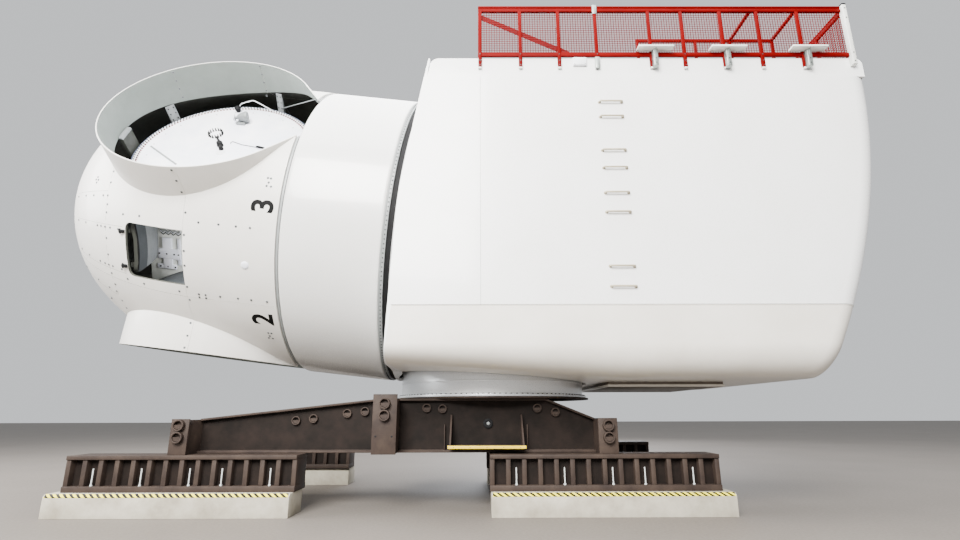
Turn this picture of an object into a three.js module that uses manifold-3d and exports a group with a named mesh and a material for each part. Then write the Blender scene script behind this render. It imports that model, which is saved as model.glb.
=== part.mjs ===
// Direct-drive wind turbine nacelle on its assembly stand. Millimetres, +Z up, floor at z = 0.
// The rotor (spinner, hub and ring generator) points along -X and is tilted up.
// The yaw axis is vertical at x = YAW_X.
import * as THREE from 'three';
import { mergeVertices } from 'three/addons/utils/BufferGeometryUtils.js';
import Module from 'manifold-3d';

const wasm = await Module();
wasm.setup();

const DEG = Math.PI / 180;
const SEAT = 0.3; // gap between two faces that touch
const ROUND = 40; // sides of a large round piece

// Main proportions, from which the rest is worked out
const YAW_X = 1059; // yaw axis, so that the whole object is centred on the origin
const MIDDLE_Y = -4; // the same in Y, where the turned rotor reaches a little further to one side
const GEN_R = 3250; // ring generator, outer radius
const GEN_LENGTH = 1990; // ring generator, front plane to rear plane
const TILT = 6.5 * DEG;
const GEN_REAR = new THREE.Vector3(-1810, 0, 5644); // centre of the generator's rear plane, from the yaw axis
const HUB_AHEAD = 2000; // blade axes ahead of the generator's front plane
const ROTOR_ANGLE = 61.5 * DEG; // first blade, from straight up towards the near side
const CONE = 0.7 * DEG; // blade axes lean forward
const HALF_WIDTH = 3300; // canopy
const CANOPY_TOP = 7950;
const CANOPY_BOTTOM = 2300;
const SKIN = 80; // canopy panel, with its stiffening ribs

// Materials
function paint(color, roughness, metalness = 0) {
  return new THREE.MeshStandardMaterial({ color, roughness, metalness });
}
const WHITE = paint(0xe6e6e3, 0.35);
const WARM_WHITE = paint(0xdcdad4, 0.4);
const BROWN = paint(0x6d605c, 0.65);
const CONCRETE = paint(0xc9c5b6, 0.9);
const RED = paint(0xc8101c, 0.45);
const GALVANISED = paint(0x9aa39c, 0.5, 0.7);
const STEEL_RING = paint(0xb9bdc1, 0.35, 0.8);
const CAST = paint(0x3c3f42, 0.6, 0.3);
const RUBBER = paint(0x1c1d1f, 0.8);
const GREY = paint(0x7d8082, 0.5);
const YELLOW = paint(0xe2c021, 0.6);

// Solids: three.js makes each shape, and the boolean library joins and cuts
function toSolid(geometry) {
  const source = geometry.index ? geometry.toNonIndexed() : geometry;
  const bare = new THREE.BufferGeometry();
  bare.setAttribute('position', source.getAttribute('position').clone());
  const merged = mergeVertices(bare, 0.02);
  const points = merged.getAttribute('position').array;
  const index = merged.index.array;
  const triangles = [];
  for (let i = 0; i < index.length; i += 3) {
    const [a, b, c] = [index[i], index[i + 1], index[i + 2]];
    if (a !== b && b !== c && c !== a) triangles.push(a, b, c);
  }
  if (signedVolume(points, triangles) < 0) {
    for (let i = 0; i < triangles.length; i += 3) {
      [triangles[i], triangles[i + 1]] = [triangles[i + 1], triangles[i]];
    }
  }
  const mesh = new wasm.Mesh({
    numProp: 3,
    vertProperties: new Float32Array(points),
    triVerts: new Uint32Array(triangles),
  });
  return new wasm.Manifold(mesh);
}

function signedVolume(points, triangles) {
  let sum = 0;
  const [a, b, c] = [new THREE.Vector3(), new THREE.Vector3(), new THREE.Vector3()];
  for (let i = 0; i < triangles.length; i += 3) {
    a.fromArray(points, 3 * triangles[i]);
    b.fromArray(points, 3 * triangles[i + 1]);
    c.fromArray(points, 3 * triangles[i + 2]);
    sum += a.dot(b.cross(c));
  }
  return sum;
}

function toGeometry(solid) {
  const mesh = solid.getMesh();
  const geometry = new THREE.BufferGeometry();
  geometry.setAttribute('position', new THREE.BufferAttribute(new Float32Array(mesh.vertProperties), 3));
  geometry.setIndex(new THREE.BufferAttribute(new Uint32Array(mesh.triVerts), 1));
  geometry.computeVertexNormals();
  return geometry;
}

function join(...solids) {
  return solids.reduce((sum, next) => sum.add(next));
}

function box([x0, x1], [y0, y1], [z0, z1]) {
  const geometry = new THREE.BoxGeometry(x1 - x0, y1 - y0, z1 - z0);
  geometry.translate((x0 + x1) / 2, (y0 + y1) / 2, (z0 + z1) / 2);
  return toSolid(geometry);
}

// A flat outline pushed along an axis: 'y' takes [x, z] points, 'x' takes [y, z] and 'z' takes [x, y]
function plate(outline, axis, from, to) {
  const shape = new THREE.Shape(outline.map(([u, v]) => new THREE.Vector2(u, v)));
  const geometry = new THREE.ExtrudeGeometry(shape, { depth: to - from, bevelEnabled: false });
  if (axis === 'y') {
    geometry.rotateX(Math.PI / 2);
    geometry.translate(0, to, 0);
  } else if (axis === 'x') {
    const turn = new THREE.Matrix4().makeBasis(
      new THREE.Vector3(0, 1, 0), new THREE.Vector3(0, 0, 1), new THREE.Vector3(1, 0, 0));
    geometry.applyMatrix4(turn);
    geometry.translate(from, 0, 0);
  } else {
    geometry.translate(0, 0, from);
  }
  return toSolid(geometry);
}

// A profile of [radius, place] points turned about an axis
function turned(profile, axis, segments = ROUND) {
  const points = profile.map(([radius, place]) => new THREE.Vector2(radius, place));
  const geometry = new THREE.LatheGeometry(points, segments);
  if (axis === 'x') geometry.rotateZ(-Math.PI / 2);
  if (axis === 'z') geometry.rotateX(Math.PI / 2);
  return toSolid(geometry);
}

function drum(radius, [from, to], axis, segments = ROUND) {
  return turned([[0, from], [radius, from], [radius, to], [0, to]], axis, segments);
}

function pipe(outer, inner, [from, to], axis, segments = ROUND) {
  const profile = [[inner, from], [outer, from], [outer, to], [inner, to], [inner, from]];
  return turned(profile, axis, segments);
}

function moved(solid, matrix) {
  return solid.transform(matrix.elements);
}

const object = new THREE.Group();

function addPiece(parent, name, solid, material) {
  const mesh = new THREE.Mesh(toGeometry(solid), material);
  mesh.name = name;
  parent.add(mesh);
  return mesh;
}

// Frames: the yaw frame stands on the yaw axis, and the rotor frame has its origin at the hub centre
// with +X along the rotor axis towards the rear
const yawFrame = new THREE.Group();
yawFrame.position.set(YAW_X, MIDDLE_Y, 0);
object.add(yawFrame);

const rotorAxis = new THREE.Vector3(Math.cos(TILT), 0, -Math.sin(TILT));
const hubCentre = GEN_REAR.clone().addScaledVector(rotorAxis, -(GEN_LENGTH + HUB_AHEAD));
const rotorFrame = new THREE.Group();
rotorFrame.position.copy(hubCentre);
rotorFrame.rotation.y = TILT;
yawFrame.add(rotorFrame);
rotorFrame.updateMatrix();
const ROTOR_TO_YAW = rotorFrame.matrix.clone();
const GEN_FRONT_S = HUB_AHEAD; // generator planes, along the rotor axis from the hub centre
const GEN_REAR_S = HUB_AHEAD + GEN_LENGTH;

function bladeMatrix(number) {
  const turn = new THREE.Matrix4().makeRotationX(ROTOR_ANGLE + number * 120 * DEG);
  return turn.multiply(new THREE.Matrix4().makeRotationY(-CONE));
}

// Stand: concrete plinths, ribbed foundation beams, cross beams and fish-bellied girders
const STAND_CENTRE = -1800; // from the yaw axis
const PLINTH = { from: 1720, to: 5900, height: 390, near: 2480, depth: 690, chamfer: 40 };
const RIBBED = {
  from: 1700, to: 5750, top: 1000, near: 2300, depth: 600, foot: 100, flange: 70, pitch: 280, rib: 80,
  web: 300, ribInset: 25,
};
const GIRDER = { near: 1650, web: 40, flangeWidth: 260, flange: 40, low: 1620, high: 1980, kink: 980 };
const CROSS = { reach: 2230, endPlate: 40, sideInset: 30 };
const CROSS_BEAMS = {
  left: { x: -5670, width: 320, plateTop: 1620, top: 1600 },
  middle: { x: -2000, width: 440, plateTop: 2050, top: GIRDER.high },
  right: { x: 2030, width: 350, plateTop: 1620, top: 1600 },
};
const LUG = { radius: 110, length: 90, below: 150, spread: 270, sides: 12 };

// A range on the near (-1) or far (+1) side, from its distances to the middle
function sideSpan(row, inside, outside) {
  return row < 0 ? [-outside, -inside] : [inside, outside];
}

function standSpan(side, { from, to }) {
  return side < 0 ? [STAND_CENTRE - to, STAND_CENTRE - from] : [STAND_CENTRE + from, STAND_CENTRE + to];
}

function plinth(side, row) {
  const [y0, y1] = sideSpan(row, PLINTH.near - PLINTH.depth, PLINTH.near);
  const [c, top] = [PLINTH.chamfer, PLINTH.height];
  const outline = [[y0, 0], [y1, 0], [y1, top - c], [y1 - c, top], [y0 + c, top], [y0, top - c]];
  return plate(outline, 'x', ...standSpan(side, PLINTH));
}

function ribbedBeam(side, row) {
  const [x0, x1] = standSpan(side, RIBBED);
  const [y0, y1] = sideSpan(row, RIBBED.near - RIBBED.depth, RIBBED.near);
  const middle = (y0 + y1) / 2;
  const z0 = PLINTH.height + SEAT;
  let beam = join(
    box([x0, x1], [y0, y1], [z0, z0 + RIBBED.foot]),
    box([x0, x1], [y0, y1], [RIBBED.top - RIBBED.flange, RIBBED.top]),
    box([x0, x1], [middle - RIBBED.web / 2, middle + RIBBED.web / 2], [z0, RIBBED.top]));
  const bays = Math.round((x1 - x0) / RIBBED.pitch);
  for (let i = 0; i <= bays; i += 1) {
    const x = x0 + (i * (x1 - x0 - RIBBED.rib)) / bays;
    beam = beam.add(box([x, x + RIBBED.rib], [y0 + RIBBED.ribInset, y1 - RIBBED.ribInset], [z0, RIBBED.top]));
  }
  return beam;
}

// A cross beam: a box section with an end plate and two lifting lugs on each end
function crossBeam({ x, width, plateTop, top }) {
  const [x0, x1] = [x - width / 2, x + width / 2];
  const z0 = RIBBED.top + SEAT;
  let beam = box([x0 + CROSS.sideInset, x1 - CROSS.sideInset], [-CROSS.reach, CROSS.reach], [z0, top]);
  for (const row of [-1, 1]) {
    beam = beam.add(box([x0, x1], sideSpan(row, CROSS.reach - CROSS.endPlate, CROSS.reach), [z0, plateTop]));
    for (const level of [0, 1]) {
      const lug = drum(LUG.radius, sideSpan(row, CROSS.reach - CROSS.endPlate / 2, CROSS.reach + LUG.length),
        'y', LUG.sides);
      const z = plateTop - LUG.below - level * LUG.spread;
      beam = beam.add(moved(lug, new THREE.Matrix4().makeTranslation(x, 0, z)));
    }
  }
  return beam;
}

// A plate girder along X whose top edge follows the given points [x, z]
function girder(topLine, row) {
  const bottom = RIBBED.top + SEAT;
  const [first, last] = [topLine[0], topLine[topLine.length - 1]];
  const outline = [[first[0], bottom], [last[0], bottom], ...topLine.slice().reverse()];
  const webSpan = sideSpan(row, GIRDER.near - GIRDER.web / 2, GIRDER.near + GIRDER.web / 2);
  const web = plate(outline, 'y', ...webSpan);
  const ys = sideSpan(row, GIRDER.near - GIRDER.flangeWidth / 2, GIRDER.near + GIRDER.flangeWidth / 2);
  const underside = topLine.map(([x, z]) => [x, z - GIRDER.flange]).reverse();
  const cap = plate([...topLine, ...underside], 'y', ...ys);
  const foot = box([first[0], last[0]], ys, [bottom, bottom + GIRDER.flange]);
  return join(web, cap, foot);
}

// The face of a cross beam's box section, on its left (-1) or right (+1) side
function beamFace({ x, width }, side) {
  return x + side * (width / 2 - CROSS.sideInset + SEAT);
}

function buildStand() {
  const rows = [['near', -1], ['far', 1]];
  for (const [rowName, row] of rows) {
    for (const [sideName, side] of [['left', -1], ['right', 1]]) {
      addPiece(yawFrame, `plinth_${rowName}_${sideName}`, plinth(side, row), CONCRETE);
      addPiece(yawFrame, `ribbed_beam_${rowName}_${sideName}`, ribbedBeam(side, row), BROWN);
    }
  }
  for (const [name, beam] of Object.entries(CROSS_BEAMS)) {
    addPiece(yawFrame, `cross_beam_${name}`, crossBeam(beam), BROWN);
  }
  const leftLine = [
    [beamFace(CROSS_BEAMS.left, 1), GIRDER.low],
    [beamFace(CROSS_BEAMS.middle, -1), GIRDER.high]];
  const rightLine = [
    [beamFace(CROSS_BEAMS.middle, 1), GIRDER.high],
    [GIRDER.kink, GIRDER.high],
    [beamFace(CROSS_BEAMS.right, -1), GIRDER.low]];
  for (const [rowName, row] of rows) {
    addPiece(yawFrame, `girder_${rowName}_left`, girder(leftLine, row), BROWN);
    addPiece(yawFrame, `girder_${rowName}_right`, girder(rightLine, row), BROWN);
  }
  addPiece(yawFrame, 'ring_seat', ringSeat(), BROWN);
  addPiece(yawFrame, 'service_step', serviceStep(), YELLOW);
  addPiece(yawFrame, 'yaw_ring', yawRing(), STEEL_RING);
}

// Round seat plate between the girders, and the adapter ring that stands on it
const SEAT_PLATE = { outer: 2110, inner: 1700, thick: 35 };
const RING = { outer: 1985, inner: 1880, foot: 2060, footThick: 45, top: 2640 };

function ringSeat() {
  const z0 = GIRDER.high + SEAT;
  return pipe(SEAT_PLATE.outer, SEAT_PLATE.inner, [z0, z0 + SEAT_PLATE.thick], 'z');
}

function yawRing() {
  const z0 = GIRDER.high + SEAT_PLATE.thick + 2 * SEAT;
  return turned([
    [RING.inner, z0], [RING.foot, z0], [RING.foot, z0 + RING.footThick], [RING.outer, z0 + RING.footThick],
    [RING.outer, RING.top], [RING.inner, RING.top], [RING.inner, z0]], 'z');
}

// Step bolted to the near girder: a plate on two gusset brackets
const STEP = {
  from: -850, to: 550, near: -2200, top: 1140, thick: 45, gusset: 30, gussetTop: 1680, gussetIn: 20,
};

function serviceStep() {
  const web = -GIRDER.near - GIRDER.web / 2 - SEAT;
  const flange = -GIRDER.near - GIRDER.flangeWidth / 2 - SEAT;
  let step = box([STEP.from, STEP.to], [STEP.near, flange], [STEP.top - STEP.thick, STEP.top]);
  for (const x of [STEP.from + STEP.gussetIn, STEP.to - STEP.gussetIn - STEP.gusset]) {
    const outline = [
      [web, STEP.top - STEP.thick], [web, STEP.gussetTop], [web - 60, STEP.gussetTop],
      [STEP.near + 60, STEP.top], [STEP.near + 60, STEP.top - STEP.thick]];
    step = step.add(plate(outline, 'x', x, x + STEP.gusset));
  }
  return step;
}

// Bedframe: the bent cast tube from the yaw bearing up to the generator, with the fixed shaft that carries
// the rotor, and two cross arms that carry the canopy
const BED = { foot: 1960, tube: 1650, elbowZ: 5250, arm: 220, armZ: 3700, arms: [-900, 1100], sides: 24 };
const SHAFT = { radius: 900, end: 200, clearance: 5 };

function bedframe() {
  const foot = turned([
    [0, RING.top + SEAT], [BED.foot, RING.top + SEAT], [BED.foot, RING.top + 160], [BED.tube, RING.top + 420],
    [BED.tube, BED.elbowZ], [0, BED.elbowZ]], 'z', BED.sides);
  const knee = moved(toSolid(new THREE.SphereGeometry(BED.tube, BED.sides, BED.sides / 2)),
    new THREE.Matrix4().makeTranslation(0, 0, BED.elbowZ));
  const nose = join(
    drum(BED.tube * 0.98, [GEN_REAR_S + 60, GEN_REAR_S + 1750], 'x', BED.sides),
    drum(SHAFT.radius, [GEN_FRONT_S + SHAFT.end, GEN_REAR_S + 200], 'x'));
  let frame = join(foot, knee, moved(nose, ROTOR_TO_YAW));
  const reach = HALF_WIDTH - SKIN - SEAT;
  for (const x of BED.arms) {
    frame = frame.add(box([x, x + BED.arm], [-reach, reach], [BED.armZ, BED.armZ + BED.arm]));
  }
  return frame;
}

// Canopy: a lofted tub with round lower edges, split into the panels of the real one
const CANOPY = {
  frontGap: 70, frontDepth: 200, // the canopy starts behind the generator's rear plane, with a flared collar
  rearTop: 7260, rearSweep: 1555, rearDrop: 5650, rearPower: 1.97, rearCorner: 400,
  bottomEdge: 550, bellyKink: 2200, frontLift: 0.52,
};
const SIDE_SEAM_X = -260;
const SKIRT_SEAM_Z = 3500;
const BELLY_HALF = 2600;
const REAR_CUT = { x: 5700, half: 2700, bottom: 2950 };
const ROOF = {
  fascia: 400, thick: 60, inset: 15, rearInset: 130, frontRound: 180, frontWall: 250, seamAhead: 100,
};
const DECK_TOP = CANOPY_TOP + ROOF.fascia;
const FAR_OUT = 9000; // past the canopy on any side
const PAST = 50; // a cutter reaches this far past the face that it opens

// The canopy's front plane is parallel to the generator's rear plane
function canopyFront(z, behind) {
  return GEN_REAR.x + (z - GEN_REAR.z) * Math.tan(TILT) + behind / Math.cos(TILT);
}

function canopyRear(z) {
  const t = Math.max(0, (CANOPY_TOP - z) / CANOPY.rearDrop);
  return CANOPY.rearTop - CANOPY.rearSweep * t ** CANOPY.rearPower;
}

// How far the belly's round edge is drawn in at a height, as a share of its radius
function edgeShare(z) {
  return Math.min(1, Math.max(0, (CANOPY_BOTTOM + CANOPY.bottomEdge - z) / CANOPY.bottomEdge));
}

// Half of the plan outline at one level, near side, from front to rear
function planHalf(z, inset, behind) {
  const drawnIn = CANOPY.bottomEdge * (1 - Math.sqrt(1 - edgeShare(z) ** 2));
  const half = HALF_WIDTH - drawnIn - inset;
  const rear = canopyRear(z) - inset;
  const radius = CANOPY.rearCorner - inset;
  const points = [[canopyFront(z, behind), -half], [CANOPY.bellyKink, -half]];
  const steps = 4;
  for (let i = 0; i <= steps; i += 1) {
    const a = (i / steps) * Math.PI / 2;
    points.push([rear - radius + radius * Math.sin(a), -(half - radius + radius * Math.cos(a))]);
  }
  return points;
}

// The belly rises towards the front
function bellyDepth(x) {
  const front = canopyFront(CANOPY_BOTTOM, 0);
  const t = Math.min(1, Math.max(0, (CANOPY.bellyKink - x) / (CANOPY.bellyKink - front)));
  return 1 - (1 - CANOPY.frontLift) * t;
}

function canopyTub(inset, behind, top) {
  const edge = CANOPY_BOTTOM + CANOPY.bottomEdge;
  const levels = [1, 0.94, 0.78, 0.55, 0.3, 0].map((share) => edge - share * CANOPY.bottomEdge);
  levels.push(3500, 4400, 5400, 6600, CANOPY_TOP);
  const rings = levels.map((z) => planHalf(z, inset, behind).map(([x, y], i) => {
    const depth = edgeShare(z) * (CANOPY.bottomEdge * bellyDepth(x) - inset);
    const height = z < edge ? edge - depth : z;
    return [i === 0 ? canopyFront(height, behind) : x, y, z === CANOPY_TOP ? top : height];
  }));
  return loft(rings);
}

// A closed skin through half rings of [x, y, z] points and their mirror images in y, from the lowest up
function loft(rings) {
  const half = rings[0].length;
  const loop = 2 * half;
  const positions = [];
  for (const ring of rings) {
    for (const [x, y, z] of ring) positions.push(x, y, z);
    for (const [x, y, z] of ring.slice().reverse()) positions.push(x, -y, z);
  }
  const index = [];
  const quad = (a, b, c, d) => index.push(a, b, c, a, c, d);
  for (let k = 0; k + 1 < rings.length; k += 1) {
    for (let i = 0; i < loop; i += 1) {
      const j = (i + 1) % loop;
      quad(k * loop + i, k * loop + j, (k + 1) * loop + j, (k + 1) * loop + i);
    }
  }
  const last = (rings.length - 1) * loop;
  for (let i = 0; i + 1 < half; i += 1) {
    const [c, d] = [loop - 2 - i, loop - 1 - i];
    quad(d, c, i + 1, i);
    quad(last + i, last + i + 1, last + c, last + d);
  }
  const geometry = new THREE.BufferGeometry();
  geometry.setAttribute('position', new THREE.BufferAttribute(new Float32Array(positions), 3));
  geometry.setIndex(index);
  return toSolid(geometry);
}

// Side view of the low roof step on top of the tub, with a round front corner
function roofOutline(bottom, behind) {
  const rear = CANOPY.rearTop - ROOF.rearInset;
  const outline = [[canopyFront(bottom, behind), bottom], [rear, bottom], [rear, DECK_TOP]];
  for (let i = 0; i <= 4; i += 1) {
    const a = (i / 4) * Math.PI / 2;
    const x = canopyFront(DECK_TOP, behind) + ROOF.frontRound * (1 - Math.sin(a));
    outline.push([x, DECK_TOP - ROOF.frontRound * (1 - Math.cos(a))]);
  }
  return outline;
}

// Room for the yaw ring, and for the round part of the collar
const WELL = { radius: 2080, bottom: 1500, top: 2665 };
const COLLAR = {
  outer: 3240, inner: 3170, hood: 1000, flareFrom: 3290, flareTo: 4500, sides: 48,
  boreLength: 2000, roomAhead: 500,
};

function yawWell() {
  return drum(WELL.radius, [WELL.bottom, WELL.top], 'z');
}

// The collar is round where it meets the generator and flares out to the canopy's box shape
function canopyCollar() {
  const front = GEN_REAR_S + CANOPY.frontGap;
  const back = front + CANOPY.frontDepth - SEAT;
  const edge = HALF_WIDTH - ROOF.inset;
  const roof = plate(roofOutline(CANOPY_TOP - 10, CANOPY.frontGap), 'y', -edge, edge);
  const hull = join(canopyTub(0, CANOPY.frontGap, CANOPY_TOP), roof);
  const flare = [[0, front], [COLLAR.flareFrom, front], [COLLAR.flareTo, back], [0, back]];
  const cone = turned(flare, 'x', COLLAR.sides);
  const bore = drum(COLLAR.inner, [front - PAST, front + COLLAR.boreLength], 'x', COLLAR.sides);
  const hood = drum(COLLAR.outer, [front, front + COLLAR.hood], 'x', COLLAR.sides);
  const ring = moved(drum(COLLAR.outer, [front, back], 'x', COLLAR.sides), ROTOR_TO_YAW);
  const aboveRoof = box([-FAR_OUT, FAR_OUT], [-FAR_OUT, FAR_OUT], [CANOPY_TOP - 300, 2 * FAR_OUT]);
  return join(hull.intersect(moved(cone, ROTOR_TO_YAW)), ring, moved(hood, ROTOR_TO_YAW).intersect(aboveRoof))
    .subtract(moved(bore, ROTOR_TO_YAW)).subtract(yawWell());
}

function collarRoom() {
  const front = GEN_REAR_S + CANOPY.frontGap - COLLAR.roomAhead;
  const hoodEnd = GEN_REAR_S + CANOPY.frontGap + COLLAR.hood + SEAT;
  return moved(drum(COLLAR.outer + SEAT, [front, hoodEnd], 'x', COLLAR.sides), ROTOR_TO_YAW);
}

function buildCanopy() {
  const behind = CANOPY.frontGap + CANOPY.frontDepth;
  const room = collarRoom();
  const shell = canopyTub(0, behind, CANOPY_TOP)
    .subtract(canopyTub(SKIN, behind - COLLAR.roomAhead, CANOPY_TOP + PAST))
    .subtract(room).subtract(yawWell());
  const h = SEAT / 2;
  const everywhere = [-FAR_OUT, FAR_OUT];
  const lower = [0, SKIRT_SEAM_Z - h];
  const upper = [SKIRT_SEAM_Z + h, FAR_OUT];
  const rearBlock = (gap) => {
    const half = REAR_CUT.half + gap;
    return box([REAR_CUT.x - gap, FAR_OUT], [-half, half], [REAR_CUT.bottom - gap, FAR_OUT]);
  };
  const rear = shell.intersect(rearBlock(0));
  const rest = shell.subtract(rearBlock(SEAT));
  addPiece(yawFrame, 'canopy_collar', canopyCollar(), WHITE);
  addPiece(yawFrame, 'seal_ring', sealRing(), RUBBER);
  for (const [name, row] of [['near', -1], ['far', 1]]) {
    const ownSide = sideSpan(row, h, FAR_OUT);
    addPiece(yawFrame, `side_panel_front_${name}`,
      rest.intersect(box([-FAR_OUT, SIDE_SEAM_X - h], ownSide, upper)), WHITE);
    addPiece(yawFrame, `side_panel_rear_${name}`,
      rest.intersect(box([SIDE_SEAM_X + h, FAR_OUT], ownSide, upper)), WHITE);
    addPiece(yawFrame, `skirt_${name}`,
      rest.intersect(box(everywhere, sideSpan(row, BELLY_HALF + h, FAR_OUT), lower)), WARM_WHITE);
  }
  addPiece(yawFrame, 'belly_panel',
    rest.intersect(box(everywhere, [-BELLY_HALF + h, BELLY_HALF - h], lower)), WARM_WHITE);
  addPiece(yawFrame, 'rear_panel', rear, WHITE);
  addPiece(yawFrame, 'service_pan', servicePan(), GREY);
  buildRoof(room, behind);
}

// Shallow pan under the belly, round the service crane hatch
const PAN = { x: [2250, 4560], half: 1500, depth: 100 };

function servicePan() {
  return box(PAN.x, [-PAN.half, PAN.half], [CANOPY_BOTTOM - PAN.depth, CANOPY_BOTTOM - SEAT]);
}

function buildRoof(room, behind) {
  const edge = HALF_WIDTH - ROOF.inset;
  const outline = roofOutline(CANOPY_TOP + SEAT, behind);
  const inner = edge - ROOF.thick - SEAT;
  for (const [name, row] of [['near', -1], ['far', 1]]) {
    const fascia = plate(outline, 'y', ...sideSpan(row, edge - ROOF.thick, edge)).subtract(room);
    addPiece(yawFrame, `fascia_${name}`, fascia, WHITE);
  }
  const solid = plate(outline, 'y', -inner, inner);
  const hollowFrom = canopyFront(DECK_TOP, behind) + ROOF.frontWall;
  const hollowTo = CANOPY.rearTop - ROOF.rearInset - ROOF.thick;
  const hollow = box([hollowFrom, hollowTo], [-FAR_OUT, FAR_OUT], [0, DECK_TOP - ROOF.thick]);
  const cover = solid.subtract(hollow).subtract(room);
  const seam = SIDE_SEAM_X - ROOF.seamAhead;
  const slice = (from, to) => cover.intersect(box([from, to], [-FAR_OUT, FAR_OUT], [0, FAR_OUT]));
  addPiece(yawFrame, 'roof_front', slice(-FAR_OUT, seam - SEAT), WHITE);
  addPiece(yawFrame, 'hoist_deck', slice(seam, FAR_OUT), GALVANISED);
}

// Winching area fence: posts bolted outside the fascia, a deep top rail and a bottom rail
const FENCE = {
  face: HALF_WIDTH - ROOF.inset + SEAT, depth: 50, post: 80, foot: 8100,
  bottomRail: [8365, 8450], topRail: [9380, 9520], from: -300, to: 6980, brace: 70, braceReach: 200, bays: 8,
};
const POSTS = [-260, 520, 1270, 2000, 3050, 3700, 4470, 5200, 6000];
const FOOT_PLATES = { places: [3100, 4500, 6050], half: 355, reach: 3530, z: [8460, 8500], stub: 90 };
const CORNER_POST = { x: [6880, 6970], depth: 110, z: [8160, 9540] };
const GUARD = { x: [3100, 4400], y: -2400, bar: 60, middle: 8880, top: 9500, bars: [5100, 6000] };

// One long side of the fence: rails, posts, a brace and three foot plates on stub posts
function sideFence(row) {
  const depth = sideSpan(row, FENCE.face, FENCE.face + FENCE.depth);
  const run = [FENCE.from, FENCE.to];
  let fence = join(box(run, depth, FENCE.topRail), box(run, depth, FENCE.bottomRail));
  for (const x of POSTS) {
    fence = fence.add(box([x - FENCE.post / 2, x + FENCE.post / 2], depth, [FENCE.foot, FENCE.topRail[1]]));
  }
  const [low, high] = [FENCE.bottomRail[0], FENCE.topRail[0]];
  const braceEnd = POSTS[2] + FENCE.braceReach;
  const brace = [
    [POSTS[0], high], [POSTS[0], high - FENCE.brace], [braceEnd, low], [braceEnd, low + FENCE.brace]];
  fence = fence.add(plate(brace, 'y', ...depth));
  for (const x of FOOT_PLATES.places) {
    const { half, reach, z, stub } = FOOT_PLATES;
    fence = fence.add(box([x - half, x + half], sideSpan(row, FENCE.face + FENCE.depth - 5, reach), z));
    fence = fence.add(box([x - stub / 2, x + stub / 2],
      sideSpan(row, FENCE.face, FENCE.face + FENCE.depth + stub), [FENCE.foot, z[0] + 5]));
  }
  const corner = box(CORNER_POST.x, sideSpan(row, FENCE.face, FENCE.face + CORNER_POST.depth), CORNER_POST.z);
  return fence.add(corner);
}

function endFence([x0, x1]) {
  const reach = FENCE.face - SEAT;
  let fence = join(
    box([x0, x1], [-reach, reach], FENCE.topRail),
    box([x0, x1], [-reach, reach], [DECK_TOP + SEAT, FENCE.bottomRail[1]]));
  for (let i = 0; i <= FENCE.bays; i += 1) {
    const y = -reach + (i * (2 * reach - FENCE.post)) / FENCE.bays;
    fence = fence.add(box([x0, x1], [y, y + FENCE.post], [DECK_TOP + SEAT, FENCE.topRail[1]]));
  }
  return fence;
}

// Guard frame on the deck, with two bars that tie it to the near fence
function deckGuard() {
  const { x: [x0, x1], y, bar, top } = GUARD;
  const ys = [y, y + bar];
  const far = GUARD.bars[1] + bar;
  const rail = (z) => box([x0, far], ys, [z, z + bar]);
  let guard = join(rail(top - bar), rail(GUARD.middle));
  for (const x of [x0, x1 - bar, GUARD.bars[0], GUARD.bars[1]]) {
    guard = guard.add(box([x, x + bar], ys, [DECK_TOP + SEAT, top]));
  }
  const tie = [-FENCE.face + SEAT, y + bar];
  for (const x of GUARD.bars) guard = guard.add(box([x, x + bar], tie, [top - bar, top]));
  return guard;
}

function buildDeckEquipment() {
  addPiece(yawFrame, 'fence_near', sideFence(-1), RED);
  addPiece(yawFrame, 'fence_far', sideFence(1), RED);
  addPiece(yawFrame, 'fence_rear', endFence([FENCE.to - FENCE.depth, FENCE.to]), RED);
  addPiece(yawFrame, 'fence_front', endFence([FENCE.from, FENCE.from + FENCE.depth]), RED);
  addPiece(yawFrame, 'deck_guard', deckGuard(), RED);
}

// Black seal round the gap behind the generator, fixed to the collar's front face
const RING_GAP = 5; // clearance of what turns
const SEAL = { outer: 3215, inner: 3000, ahead: 40 };

function sealRing() {
  const span = [GEN_REAR_S - SEAL.ahead, GEN_REAR_S + CANOPY.frontGap - SEAT];
  return moved(pipe(SEAL.outer, SEAL.inner, span, 'x', COLLAR.sides), ROTOR_TO_YAW);
}

// Spinner: a shell of revolution with a full waist and a blunt nose, pierced by three blade collars
const SPINNER = {
  rear: 1950, seam: 230, radius: 3260, curveFrom: 790, curveLength: 4400, curveSteps: 12, power: 2.1,
  skin: 55, sides: 40, sealOuter: 3230, sealInner: 3010,
  petals: 3, petalSeam: 72 * DEG, // the front's long seams lie this far round from the blades
};
const BLADE = {
  collar: 2000, straight: 38 * DEG, wall: 60, low: 2200, rim: 3170, inside: 20, sides: 36,
  disc: 1850, discTop: 2156, discThick: 120,
};
const THIRD = 120 * DEG;
const ROTOR_ROOM = 7000; // past the rotor on any side

function spinnerProfile(inset, rearEnd) {
  const [length, radius] = [SPINNER.curveLength - inset, SPINNER.radius - inset];
  const profile = [[0, SPINNER.curveFrom - length]];
  for (let i = 1; i <= SPINNER.curveSteps; i += 1) {
    const t = Math.cos((i / SPINNER.curveSteps) * Math.PI / 2);
    profile.push([radius * (1 - t ** SPINNER.power) ** (1 / SPINNER.power), SPINNER.curveFrom - length * t]);
  }
  profile.push([radius, rearEnd], [0, rearEnd]);
  return profile;
}

function spinnerSolid(inset, rearEnd) {
  return turned(spinnerProfile(inset, rearEnd), 'x', SPINNER.sides);
}

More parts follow.
